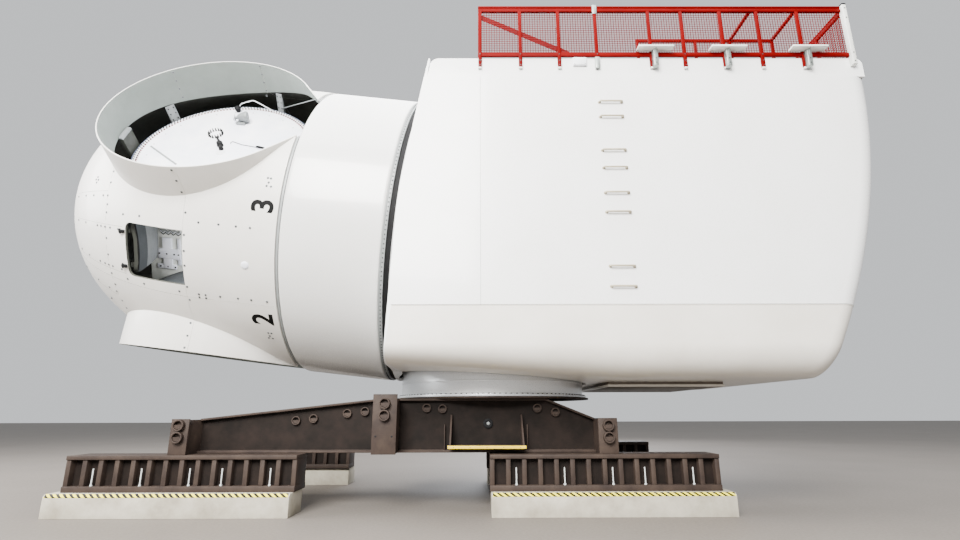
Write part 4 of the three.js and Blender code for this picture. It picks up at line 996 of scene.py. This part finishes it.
def tub(inset, behind, top):
    """The canopy's closed outer form, or the same drawn in by an inset."""
    angles = (90, 84, 78, 70, 62, 54, 46, 38, 30, 22, 14, 7, 0)
    levels = [BELLY_START - BELLY_ROUND * math.sin(math.radians(a)) for a in angles]
    levels += [BELLY_START + (CANOPY_TOP - BELLY_START) * k / 24 for k in range(1, 25)]
    front = canopy_front(BELLY_START - BELLY_ROUND, 0)
    kink = 2.2  # the belly rises forwards from here
    rings = []
    for z in levels:
        share = min(1.0, max(0.0, (BELLY_START - z) / BELLY_ROUND))
        half = HALF_WIDTH - BELLY_ROUND * (1 - math.sqrt(1 - share * share)) - inset
        rear = canopy_rear(z) - inset
        radius = CANOPY_ROUND - inset
        start = canopy_front(z, behind)
        across = [(start + (kink - start) * k / 6, -half) for k in range(7)]
        across.append(((kink + rear - radius) / 2, -half))
        for k in range(13):
            a = k / 12 * math.pi / 2
            across.append((rear - radius + radius * math.sin(a), -(half - radius + radius * math.cos(a))))
        ring = []
        for n, (x, y) in enumerate(across):
            t = min(1.0, max(0.0, (kink - x) / (kink - front)))
            height = z
            if z < BELLY_START:
                height = BELLY_START - share * (BELLY_ROUND * (1 - 0.48 * t) - inset)
            if n == 0:
                x = canopy_front(height, behind)
            ring.append((x, y, top if z == levels[-1] else height))
        rings.append(ring)
    half_count = len(rings[0])
    loop = 2 * half_count
    points = []
    for ring in rings:
        points += ring + [(x, -y, z) for x, y, z in reversed(ring)]
    faces = []
    for k in range(len(rings) - 1):
        for i in range(loop):
            j = (i + 1) % loop
            faces.append([k * loop + i, k * loop + j, (k + 1) * loop + j, (k + 1) * loop + i])
    last = (len(rings) - 1) * loop
    for i in range(half_count - 1):
        faces.append([loop - 1 - i, loop - 2 - i, i + 1, i])
        faces.append([last + i, last + i + 1, last + loop - 2 - i, last + loop - 1 - i])
    return from_lists(points, faces, YAW)


def roof_outline(bottom, behind):
    """The roof's side outline as (x, z), with a rounded front edge and rear corner."""
    rear, corner, brow = CANOPY_REAR - 0.13, 0.14, 0.18
    outline = [(canopy_front(bottom, behind), bottom), (rear, bottom)]
    outline += [(rear - corner * (1 - math.cos(a)), DECK_TOP - corner * (1 - math.sin(a)))
                for a in (math.pi / 2 * k / 8 for k in range(9))]
    for i in range(13):
        a = i / 12 * math.pi / 2
        x = canopy_front(DECK_TOP, behind) + brow * (1 - math.sin(a))
        outline.append((x, DECK_TOP - brow * (1 - math.cos(a))))
    return outline


def build_canopy():
    """The canopy's walls, cut from one shell along their seams, with the flared collar and the seal."""
    far_out = 9.0
    seam = 0.005
    well = turned([(0, 1.5), (2.08, 1.5), (2.08, 2.665), (0, 2.665)], sides=96)
    shell = cut(tub(0, 0.27, CANOPY_TOP), tub(0.08, -0.23, CANOPY_TOP + 0.05))
    shell = cut(cut(shell, rotor_room()), well)
    rear_x, rear_half, rear_z = 5.7, 2.7, 2.95
    rear = cut(shell, block((rear_x, far_out), (-rear_half, rear_half), (rear_z, far_out)), "INTERSECT")
    opening_y = (-rear_half - seam, rear_half + seam)
    rest = cut(shell, block((rear_x - seam, far_out), opening_y, (rear_z - seam, far_out)))
    piece("rear_shell", rear, CANOPY_GEL_COAT, "nacelle", ["rear_panel"])
    every = (-far_out, far_out)
    upper = (SKIRT_SEAM_Z + seam, far_out)
    lower = (0, SKIRT_SEAM_Z - seam)
    belly_half = 2.6
    for name, side in SIDES:
        own = span(side, seam, far_out)
        halves = (("front", (-far_out, SIDE_SEAM_X - seam / 2)), ("rear", (SIDE_SEAM_X + seam / 2, far_out)))
        for part, x in halves:
            panel = cut(rest, block(x, own, upper), "INTERSECT")
            piece(f"side_shell_{part}_{name}", panel, CANOPY_GEL_COAT, "nacelle",
                  [f"side_panel_{part}_{name}"])
        # The skirts take the lower gel coat, whose darker, warmer colour is painted shade
        skirt = cut(rest, block(every, span(side, belly_half + seam, far_out), lower), "INTERSECT")
        piece(f"skirt_shell_{name}", skirt, LOWER_GEL_COAT_SHADED, "nacelle", [f"skirt_{name}"])
    # The belly takes the lower gel coat too, painted darker as shade
    belly = cut(rest, block(every, (seam - belly_half, belly_half - seam), lower), "INTERSECT")
    piece("belly_shell", belly, LOWER_GEL_COAT_SHADED, "nacelle", ["belly_panel"])

    front, back = 4.06, 4.2597
    flare = [(0, front), (3.262, front), (3.3, front + 0.012), (3.36, front + 0.035), (3.5, front + 0.07),
             (3.8, front + 0.115), (4.5, back), (0, back)]
    roof = prism(roof_outline(CANOPY_TOP - 0.01, 0.07), "y", 0.015 - HALF_WIDTH, HALF_WIDTH - 0.015)
    hull = cut(tub(0, 0.07, CANOPY_TOP), roof, "UNION")
    collar = cut(hull, turned(flare, ROTOR_TURNED), "INTERSECT")
    round_part = turned([(0, front), (3.24, front), (3.24, back), (0, back)], ROTOR_TURNED)
    hood = turned([(0, front), (3.228, front), (3.24, front + 0.012), (3.24, HOOD_END - 0.03),
                   (3.21, HOOD_END), (0, HOOD_END)], ROTOR_TURNED)
    hood = cut(hood, block(every, every, (CANOPY_TOP - 0.3, far_out)), "INTERSECT")
    collar = cut(cut(collar, round_part, "UNION"), hood, "UNION")
    bore = turned([(0, 3.9), (3.17, 3.9), (3.17, 6.5), (0, 6.5)], ROTOR_TURNED)
    collar = cut(cut(collar, bore), well)
    piece("collar_shell", collar, CANOPY_GEL_COAT, "nacelle", ["canopy_collar"], smooth=30)
    seal = rounded([(3.0, 3.951), (3.214, 3.951), (3.214, 4.0597), (3.0, 4.0597)], 0.02, 4)
    rib = rounded([(3.05, 3.96), (3.216, 3.985), (3.216, 4.0), (3.05, 4.0)], 0.004)
    piece("seal_shell", merged(turned(seal, ROTOR_TURNED), turned(rib, ROTOR_TURNED)), SEAL_RUBBER_AND_HOLE_SHADE, "nacelle",
          ["seal_ring"])


def build_roof():
    """The boards along both roof edges with a small box on one, and the roof's closed front."""
    room = rotor_room()
    outline = roof_outline(CANOPY_TOP + 0.0003, 0.27)
    for name, side in SIDES:
        board = cut(prism(outline, "y", *span(side, 3.225, 3.285)), room)
        for x in (-0.69, 2.83, 5.1):
            joint = block((x - 0.0025, x + 0.0025), span(side, 3.279, 3.4), (7.9, 8.4))
            board = cut(board, joint)
        piece(f"fascia_shell_{name}", board, CANOPY_GEL_COAT, "nacelle", [f"fascia_{name}"])
    front = prism(outline, "y", -3.2247, 3.2247)
    front = cut(front, block((-9, SIDE_SEAM_X - 0.1003), (-9, 9), (0, 9)), "INTERSECT")
    hollow = block((canopy_front(DECK_TOP, 0.27) + 0.25, 9), (-9, 9), (0, DECK_TOP - 0.06))
    front = cut(cut(front, hollow), room)
    piece("roof_shell_front", front, CANOPY_GEL_COAT, "nacelle", ["roof_front"])
    box = block((1.53, 1.79), span(-1, 3.284, 3.33), (8.17, 8.345), 0.008)
    lid = block((1.54, 1.78), span(-1, 3.33, 3.336), (8.18, 8.335), 0.002)
    screws = [(YAW @ Vector((x, -3.336, z)), Vector((0, -1, 0))) for x in (1.56, 1.76) for z in (8.2, 8.315)]
    screwed = merged(painted(merged(box, lid), COVER_RING), studs(screws, 0.007, 0.004, DULL_ZINC))
    piece("fascia_box", screwed, None, "nacelle", smooth=50)


def build_canopy_fittings():
    """Grab bars on both sides, and the bead under the long seam of the side panels."""
    for name, side in SIDES:
        parts = []
        pads = []
        for z in (7.38, 7.07, 6.38, 6.03, 5.54, 5.17, 4.17, 3.81):
            path = [(1.99, 3.298), (1.99, 3.335), (1.996, 3.35), (2.01, 3.356), (2.39, 3.356), (2.404, 3.35),
                    (2.41, 3.335), (2.41, 3.298)]
            parts.append(rod([(x, side * y, z) for x, y in path], 0.018, 10))
            pads += [(YAW @ Vector((x, side * 3.3, z)), Vector((0, side, 0))) for x in (1.99, 2.41)]
        grips = painted(merged(*parts), BAR_COAT)
        padded = merged(grips, studs(pads, 0.032, 0.006, BAR_COAT, sides=16))
        piece(f"grab_bars_{name}", padded, None, "nacelle", smooth=50)
        z = SKIRT_SEAM_Z - 0.011
        rear = canopy_rear(z)
        path = [(canopy_front(z, 0.28), 3.3), (2.0, 3.3), (rear - 0.4, 3.3)]
        path += [(rear - 0.4 + 0.4 * math.sin(a), 2.9 + 0.4 * math.cos(a))
                 for a in (math.radians(10 * k) for k in range(1, 10))]
        path.append((rear, 2.71))
        piece(f"seam_bead_{name}", rod([(x, side * y, z) for x, y in path], 0.007, 8), LOWER_GEL_COAT_SHADED,
              "nacelle", smooth=60)


FENCE_FACE = 3.2853  # the roof board's outer face with a seat gap
FENCE_POSTS = (-0.26, 0.52, 1.27, 2.0, 3.05, 3.7, 4.47, 5.2, 6.0)
CLAMPED_POST = 2.0
FOOT_PLATES = (3.1, 4.5, 6.05)
WIRE_PITCH = 0.05


def off_face(side, inside, outside):
    """A range off the roof board's outer face on the near (-1) or far (+1) side."""
    return span(side, FENCE_FACE + inside, FENCE_FACE + outside)


def fence_rails(run, thick, thin, foot, along):
    """The top rail in three strips and the bottom rail of a fence that runs along x or y."""
    strips = ((thick, (9.385, 9.452), 0.008), (thin, (9.44, 9.49), 0.0), (thick, (9.478, 9.518), 0.01),
              (thick, (foot, 8.448), 0.008))
    return [block(*((run, depth) if along == "x" else (depth, run)), z, soft) for depth, z, soft in strips]


def build_side_fence(name, side):
    """A side fence with its posts, wires, brace, clamps and foot plates."""
    depth = off_face(side, 0.002, 0.047)
    groove = off_face(side, 0.008, 0.034)
    run = (-0.3, 6.98)
    red = fence_rails(run, depth, groove, 8.367, "x")
    bolts = []
    white = []
    outwards = Vector((0, side, 0))
    for x in FENCE_POSTS:
        red.append(block((x - 0.034, x + 0.034), off_face(side, 0.0005, 0.0495), (8.13, 9.39), 0.006))
        white.append(block((x - 0.036, x + 0.036), off_face(side, 0.0005, 0.05), (8.1, 8.135), 0.008))
        bolts += [(YAW @ Vector((x, side * (FENCE_FACE + 0.049), z)), outwards) for z in (8.17, 8.27, 8.41)]
    middle = side * (FENCE_FACE + 0.014)
    wires = bars((run[0] + 0.07, middle, 8.915), (WIRE_PITCH, 0, 0), 143, (0.0105, 0.003, 0.95),
                 RED_POWDER_COAT)
    cross_wires = bars((3.34, middle, 8.472), (0, 0, WIRE_PITCH), 19, (7.26, 0.0036, 0.009), RED_POWDER_COAT)
    # The brace is painted a darker red as shade behind the wires
    brace = prism([(-0.26, 9.35), (-0.26, 9.23), (1.47, 8.38), (1.47, 8.50)], "y",
                  *off_face(side, 0.001, 0.009))
    clamp = (CLAMPED_POST - 0.045, CLAMPED_POST + 0.045)
    zinc = [block(clamp, off_face(side, 0, 0.06), z, 0.008) for z in ((9.33, 9.535), (8.1, 8.345))]
    for x in FOOT_PLATES:
        zinc.append(block((x - 0.045, x + 0.045), off_face(side, 0, 0.14), (8.1, 8.465), 0.01))
        root, toe = side * (FENCE_FACE + 0.05), side * (FENCE_FACE + 0.14)
        gusset = [(root, 8.46), (side * 3.48, 8.46), (toe, 8.33), (root, 8.33)]
        zinc.append(prism(gusset, "x", x - 0.006, x + 0.006))
        white.append(block((x - 0.34, x + 0.34), span(side, FENCE_FACE + 0.046, 3.5), (8.462, 8.5), 0.008))
        bolts += [(YAW @ Vector((x + dx, side * 3.46, 8.5)), Vector((0, 0, 1)))
                  for dx in (-0.28, -0.1, 0.1, 0.28)]
        bolts += [(YAW @ Vector((x, side * (FENCE_FACE + 0.14), z)), outwards) for z in (8.16, 8.26)]
    white.append(block((6.885, 6.965), off_face(side, 0, 0.108), (8.16, 9.51), 0.01))
    bolts += [(YAW @ Vector((6.925, side * (FENCE_FACE + 0.108), z)), outwards)
              for z in (8.22, 8.41, 9.2, 9.42)]
    cap = block((6.881, 6.969), off_face(side, 0, 0.11), (9.5, 9.54), 0.01)
    whole = merged(
        painted(merged(*red), RED_POWDER_COAT), wires, cross_wires, painted(brace, BRACE_RED_SHADE),
        painted(merged(*zinc), GALVANISED_STEEL), painted(merged(*white), PALE_ENAMEL),
        painted(cap, SEAL_RUBBER_AND_HOLE_SHADE),
        studs(bolts, 0.013, 0.01, DULL_ZINC))
    piece(f"fence_{name}_built", whole, None, "nacelle", [f"fence_{name}"], smooth=50)


def build_end_fence(name, x0):
    """A fence across the deck, whose outer face is at x0."""
    reach = 3.284
    parts = fence_rails((-reach, reach), (x0 + 0.002, x0 + 0.048), (x0 + 0.01, x0 + 0.04), 8.352, "y")
    for k in range(9):
        y = -reach + 0.04 + k * (2 * reach - 0.08) / 8
        parts.append(block((x0 + 0.0005, x0 + 0.0495), (y - 0.034, y + 0.034), (8.352, 9.39), 0.006))
    frame_mesh = painted(merged(*parts), RED_POWDER_COAT)
    wires = bars((x0 + 0.025, -3.25, 8.915), (0, WIRE_PITCH, 0), 131, (0.003, 0.0105, 0.95), RED_POWDER_COAT)
    cross_wires = bars((x0 + 0.025, 0, 8.472), (0, 0, WIRE_PITCH), 19, (0.0036, 6.56, 0.009), RED_POWDER_COAT)
    piece(f"fence_{name}_built", merged(frame_mesh, wires, cross_wires), None, "nacelle",
          [f"fence_{name}"], smooth=50)


def build_deck():
    """Bar grating over the deck plate, and the guard frame round the hoist."""
    grating = merged(
        bars((3.385, -3.2, 8.361), (0, 0.04, 0), 161, (7.46, 0.005, 0.022), GALVANISED_STEEL),
        bars((-0.3, 0, 8.366), (0.1, 0, 0), 74, (0.007, 6.42, 0.007), GALVANISED_STEEL))
    piece("deck_grating", grating, None, "nacelle", smooth=0)
    ys = (-2.4, -2.34)
    parts = [block((3.1, 5.1 + 0.96), ys, (z, z + 0.06), 0.008) for z in (9.44, 8.88)]
    for x in (3.1, 4.34, 5.1, 6.0):
        parts.append(block((x + 0.002, x + 0.058), (-2.398, -2.342), (8.352, 9.46), 0.006))
        parts.append(block((x - 0.04, x + 0.1), (-2.45, -2.29), (8.36, 8.385), 0.003))
    for x in (5.1, 6.0):
        parts.append(block((x, x + 0.06), (-3.284, -2.36), (9.44, 9.5), 0.008))
    piece("deck_guard_built", merged(*parts), RED_POWDER_COAT, "nacelle", ["deck_guard"],
          smooth=50)


# Stand

def build_yaw_ring():
    """The turned ring that the canopy stands on, with its bolts, and the seat plate under it."""
    ring = rounded([(1.88, 2.03), (1.985, 2.03), (1.985, 2.64), (1.88, 2.64)], 0.006)
    foot = rounded([(1.9, 2.0156), (2.06, 2.0156), (2.06, 2.06), (1.9, 2.06)], 0.006)
    bead = rounded([(1.9, 2.3), (1.992, 2.3), (1.992, 2.33), (1.9, 2.33)], 0.004)
    ring_mesh = painted(merged(turned(ring), turned(foot), turned(bead)), TURNED_STEEL)
    bolts = studs(ring_spots(YAW, 2.03, 2.059, 120), 0.017, 0.018, DULL_ZINC)
    piece("yaw_ring_turned", merged(ring_mesh, bolts), None, "stand", ["yaw_ring"])
    seat = rounded([(1.7, 1.9804), (2.11, 1.9804), (2.11, 2.0152), (1.7, 2.0152)], 0.005)
    piece("ring_seat_turned", turned(seat), BROWN_ALKYD, "stand", ["ring_seat"])


STAND_CENTRE = -1.8  # the stand's middle, counted from the yaw axis


def stand_span(side, start, end):
    """A range along the stand, on its rotor end (-1) or rear end (+1)."""
    if side < 0:
        return STAND_CENTRE - end, STAND_CENTRE - start
    return STAND_CENTRE + start, STAND_CENTRE + end


def build_plinth(place, side, row):
    """A concrete plinth with hazard tape on its outer edge."""
    x0, x1 = stand_span(side, 1.72, 5.9)
    y0, y1 = span(row, 1.79, 2.48)
    outline = [(y0, 0), (y1, 0), (y1, 0.35), (y1 - 0.04, 0.39), (y0 + 0.04, 0.39), (y0, 0.35)]
    edge = row * 2.48
    strip = [(-0.041, 0.3925), (0.0015, 0.35), (0.0015, 0.334), (-0.006, 0.334), (-0.046, 0.386)]
    tape = prism([(edge + row * out, z) for out, z in strip], "x", x0 + 0.02, x1 - 0.02)
    body = painted(prism(outline, "x", x0, x1, 0.006), PAINTED_CONCRETE)
    piece(f"plinth_{place}_cast", merged(body, painted(tape, HAZARD_TAPE)), None, "stand",
          [f"plinth_{place}"], smooth=30)


RIBS = 15
RIB_THICK = 0.08
ANCHOR_BAYS = (1, 4, 7, 9, 12)


def build_ribbed_beam(place, side, row):
    """A ribbed beam on a plinth: two flanges, a web and ribs, with anchor rods in some of its bays."""
    x0, x1 = stand_span(side, 1.7, 5.75)
    y0, y1 = span(row, 1.7, 2.3)
    middle = (y0 + y1) / 2
    steel = [block((x0, x1), (y0, y1), z, 0.006) for z in ((0.3904, 0.49), (0.93, 0.9998))]
    web = block((x0 + 0.01, x1 - 0.01), (middle - 0.15, middle + 0.15), (0.48, 0.94))
    for k in range(RIBS):
        x = x0 + k * (x1 - x0 - RIB_THICK) / (RIBS - 1)
        steel.append(block((x, x + RIB_THICK), (y0 + 0.025, y1 - 0.025), (0.485, 0.935), 0.006))
    rods = []
    nuts = []
    for bay in ANCHOR_BAYS:
        x, y = x0 + RIB_THICK + (bay + 0.36) * (x1 - x0 - RIB_THICK) / (RIBS - 1), row * 2.23
        rods.append(rod([(x, y, 0.47), (x, y, 0.78)], 0.012, 8))
        nuts.append((YAW @ Vector((x, y, 0.489)), Vector((0, 0, 1))))
    # The web is painted almost black as shade between the ribs
    whole = merged(painted(merged(*steel), BROWN_ALKYD), painted(web, BROWN_WEB_SHADE),
                   painted(merged(*rods), BRIGHT_ZINC), studs(nuts, 0.024, 0.022, BRIGHT_ZINC))
    piece(f"ribbed_beam_{place}_welded", whole, None, "stand", [f"ribbed_beam_{place}"],
          smooth=50)


def build_foundation():
    """The four plinths and the ribbed beams that stand on them."""
    for row_name, row in SIDES:
        for side_name, side in (("left", -1), ("right", 1)):
            build_plinth(f"{row_name}_{side_name}", side, row)
            build_ribbed_beam(f"{row_name}_{side_name}", side, row)


def facing_out(place, row):
    """A frame at a place on the stand whose Z points out on the near or far side and whose Y points up."""
    turn = Matrix(((-row, 0, 0), (0, 0, row), (0, 1, 0))).to_4x4()
    return YAW @ Matrix.Translation(place) @ turn


def lifting_socket(place, row, radius, depth):
    """A short tube welded on, with a half-round shelf across its lower half."""
    at = facing_out(place, row)
    wall = [(0.74 * radius, 0), (radius, 0), (radius, depth), (0.74 * radius, depth)]
    shelf = [(0.76 * radius * math.cos(a), 0.76 * radius * math.sin(a) + 0.1 * radius)
             for a in (math.pi + math.pi * k / 12 for k in range(13))]
    return merged(turned(rounded(wall, 0.006), at, 32), prism(shelf, "z", -0.002, 0.7 * depth, matrix=at))


# Cross beams: centre, width, height of the end plates, height of the beam, heights of the sockets
CROSS_BEAMS = {
    "left": (-5.67, 0.32, 1.62, 1.6, (1.51, 1.30)),
    "middle": (-2.0, 0.44, 2.05, 1.98, (1.885, 1.675)),
    "right": (2.03, 0.35, 1.62, 1.6, (1.495, 1.285)),
}


def build_cross_beams():
    """The three box beams across the stand, with their end plates and lifting sockets."""
    low = 1.0004
    for name, (x, width, plate_top, top, sockets) in CROSS_BEAMS.items():
        parts = [block((x - width / 2 + 0.03, x + width / 2 - 0.03), (-2.2, 2.2), (low, top - 0.0002), 0.006)]
        hole_shades = []
        for row in (-1, 1):
            parts.append(block((x - width / 2, x + width / 2), span(row, 2.19, 2.2298), (low, plate_top),
                               0.006))
            for z in sockets:
                parts.append(lifting_socket((x, row * 2.2295, z), row, 0.1, 0.085))
            # Flat black discs on the middle beam's plates stand for holes: painted shade
            if name == "middle":
                for hole_x, z in ((-2.148, 1.311), (-1.858, 1.307)):
                    hole_shades.append((YAW @ Vector((hole_x, row * 2.2298, z)), Vector((0, row, 0))))
        pieces = [painted(merged(*parts), BROWN_ALKYD)]
        if hole_shades:
            pieces.append(studs(hole_shades, 0.018, 0.001, SEAL_RUBBER_AND_HOLE_SHADE, sides=16))
        piece(f"cross_beam_{name}_welded", merged(*pieces), None, "stand",
              [f"cross_beam_{name}"], smooth=50)


def build_girders():
    """The four plate girders between the cross beams: flanges, web and sockets, with a gland on the right."""
    left = [(-5.5397, 1.62), (-2.1903, 1.98)]
    right = [(-1.8097, 1.98), (0.98, 1.98), (1.8847, 1.62)]
    sockets = {
        "left": ((-3.765, 1.58), (-3.436, 1.615), (-2.8, 1.71), (-2.466, 1.746)),
        "right": ((-1.29, 1.806), (-0.99, 1.79), (0.824, 1.8), (1.167, 1.726)),
    }
    stiffeners = {"left": (), "right": (-0.94, 0.62)}
    for row_name, row in SIDES:
        for name, line in (("left", left), ("right", right)):
            web = [(line[0][0], 1.001), (line[-1][0], 1.001)] + [(x, z - 0.001) for x, z in reversed(line)]
            cap = [(x, z - 0.0002) for x, z in line] + [(x, z - 0.04) for x, z in reversed(line)]
            flange = span(row, 1.52, 1.78)
            parts = [prism(cap, "y", *flange, 0.005),
                     block((line[0][0], line[-1][0]), flange, (1.0006, 1.04), 0.005)]
            for x, z in sockets[name]:
                parts.append(lifting_socket((x, row * 1.6695, z), row, 0.082, 0.06))
            for x in stiffeners[name]:
                parts.append(block((x - 0.008, x + 0.008), span(row, 1.66, 1.75), (1.035, 1.5), 0.003))
            weld = [(x, row * 1.672, 1.043) for x in (line[0][0] + 0.02, line[-1][0] - 0.02)]
            parts.append(rod(weld, 0.007, 8))
            # The web is painted almost black as shade under the flanges
            pieces = [painted(merged(*parts), BROWN_ALKYD),
                      painted(prism(web, "y", *span(row, 1.63, 1.67)), BROWN_WEB_SHADE)]
            if name == "right":
                at = facing_out((-0.116, row * 1.669, 1.518), row)
                gland = [(0, 0), (0.092, 0), (0.092, 0.02), (0.075, 0.032), (0.05, 0.034),
                         (0.035, 0.02), (0, 0.02)]
                dome = [(0, 0), (0.034, 0), (0.032, 0.03), (0.018, 0.042), (0, 0.044)]
                pieces.append(painted(turned(gland, at, 32), SEAL_RUBBER_AND_HOLE_SHADE))
                pieces.append(painted(turned(dome, at, 20), GREY_ENAMEL))
            piece(f"girder_{row_name}_{name}_welded", merged(*pieces), None, "stand",
                  [f"girder_{row_name}_{name}"], smooth=50)


def build_service_pan():
    """The shallow pan under the belly: a pale rolled rim, painted as the lit face, round a recessed band and
    an underside painted dark as shade.
    """
    # The rim is pale as a lit face; the band above it and the underside are painted dark as shade
    upper = painted(block((2.27, 4.54), (-1.48, 1.48), (2.245, 2.2997), 0.006), PAN_SHADE)
    rim = painted(block((2.25, 4.56), (-1.5, 1.5), (2.205, 2.252), 0.014), LOWER_GEL_COAT_SHADED)
    under = painted(block((2.28, 4.53), (-1.47, 1.47), (2.2002, 2.21), 0.003), PAN_SHADE)
    piece("service_pan_pressed", merged(upper, rim, under), None, "nacelle", ["service_pan"],
          smooth=50)


def build_step_edge():
    """The service step's yellow edge and its tread plate."""
    edge = painted(block((-0.856, 0.556), (-2.206, -2.15), (1.09, 1.1435), 0.004), SIGNAL_YELLOW)
    plate = painted(block((-0.85, 0.55), (-2.16, -1.79), (1.139, 1.1425)), BROWN_ALKYD)
    spots = [(YAW @ Vector((-0.75 + 0.3 * k, -2.206, 1.117)), Vector((0, -1, 0))) for k in range(5)]
    treads = bars((-0.8, -1.98, 1.1445), (0.05, 0, 0), 27, (0.008, 0.3, 0.004), BROWN_ALKYD)
    piece("step_edge", merged(edge, plate, treads, studs(spots, 0.009, 0.004, DULL_ZINC)), None, "stand",
          smooth=50)


# Camera, light and floor

def build_camera():
    """The camera fitted to the photograph: its place in the yaw frame, its angles and its focal length."""
    width = 960
    focal_pixels = 528.98
    shift_pixels = 4.106
    camera_data = bpy.data.cameras.new("photo_camera")
    camera_data.sensor_width = 36.0
    camera_data.lens = focal_pixels / width * camera_data.sensor_width
    camera_data.shift_y = shift_pixels / width
    camera = bpy.data.objects.new("photo_camera", camera_data)
    yaw, pitch, roll = (math.radians(a) for a in (0.211, 14.629, -0.145))
    ahead = Vector((math.sin(yaw) * math.cos(pitch), math.cos(yaw) * math.cos(pitch), math.sin(pitch)))
    level = Vector((math.cos(yaw), -math.sin(yaw), 0))
    upright = level.cross(ahead)
    right = level * math.cos(roll) + upright * math.sin(roll)
    up = upright * math.cos(roll) - level * math.sin(roll)
    turn = Matrix((right, up, -ahead)).transposed().to_4x4()
    camera.matrix_world = Matrix.Translation((YAW_X - 0.304, MIDDLE_Y - 12.136, 1.726)) @ turn
    bpy.context.scene.collection.objects.link(camera)
    bpy.context.scene.camera = camera


def add_lamp(name, size, power, colour, matrix):
    """A square area lamp that shines along its own -Z."""
    light = bpy.data.lights.new(name, "AREA")
    light.size = size
    light.energy = power
    light.color = linear(colour)[:3]
    lamp = bpy.data.objects.new(name, light)
    lamp.matrix_world = matrix
    bpy.context.scene.collection.objects.link(lamp)
    return lamp


def build_light():
    """Soft lamps above and on three sides, a small one inside the spinner, and a pale surround."""
    for name, place, target, size, power, colour in (
        ("overhead", (0, 0, 18), (0, 0, 5), 22, 12000, "#FFFFFF"),
        ("near_side", (-5, -22, 15), (0, 0, 5.5), 12, 27000, "#FFFDF8"),
        ("far_side", (6, 22, 14), (0, 0, 5), 14, 6000, "#F6F9FF"),
        ("rotor_end", (-22, -4, 12), (-4, 0, 5), 12, 9000, "#FFFFFF"),
    ):
        aim = (Vector(target) - Vector(place)).to_track_quat("-Z", "Y").to_matrix().to_4x4()
        add_lamp(name, size, power, colour, Matrix.Translation(place) @ aim)
    inside = Matrix.Translation((0.7, -0.1, 2.6)) @ Matrix.Rotation(math.radians(50), 4, "Y")
    add_lamp("hatch_fill", 0.5, 45, "#FFFFFF", around(HATCH_ANGLE) @ inside).visible_camera = False
    world = bpy.data.worlds.new("studio")
    world.use_nodes = True
    background = world.node_tree.nodes["Background"]
    background.inputs["Color"].default_value = linear("#E9ECEF")
    background.inputs["Strength"].default_value = 0.95
    bpy.context.scene.world = world


def build_floor():
    """The studio's floor, a millimetre under the plinths."""
    reach, depth = 90, -0.001
    corners = [(x * reach, y * reach, depth) for x, y in ((-1, -1), (1, -1), (1, 1), (-1, 1))]
    mesh = from_lists(corners, [[0, 1, 2, 3]], tidy=False)
    floor = bpy.data.objects.new("studio_floor", painted(mesh, FLOOR_PAINT))
    bpy.context.scene.collection.objects.link(floor)


build_camera()
build_light()
build_floor()
build_generator()
build_spinner()
build_spinner_fittings()
build_hatch_fittings()
build_hub_cabinet()
build_blade_brackets()
build_blade_covers()
build_canopy()
build_roof()
build_canopy_fittings()
for fence_side, fence_row in SIDES:
    build_side_fence(fence_side, fence_row)
build_end_fence("front", -0.3)
build_end_fence("rear", 6.93)
build_deck()
build_yaw_ring()
build_foundation()
build_cross_beams()
build_girders()
build_service_pan()
build_step_edge()
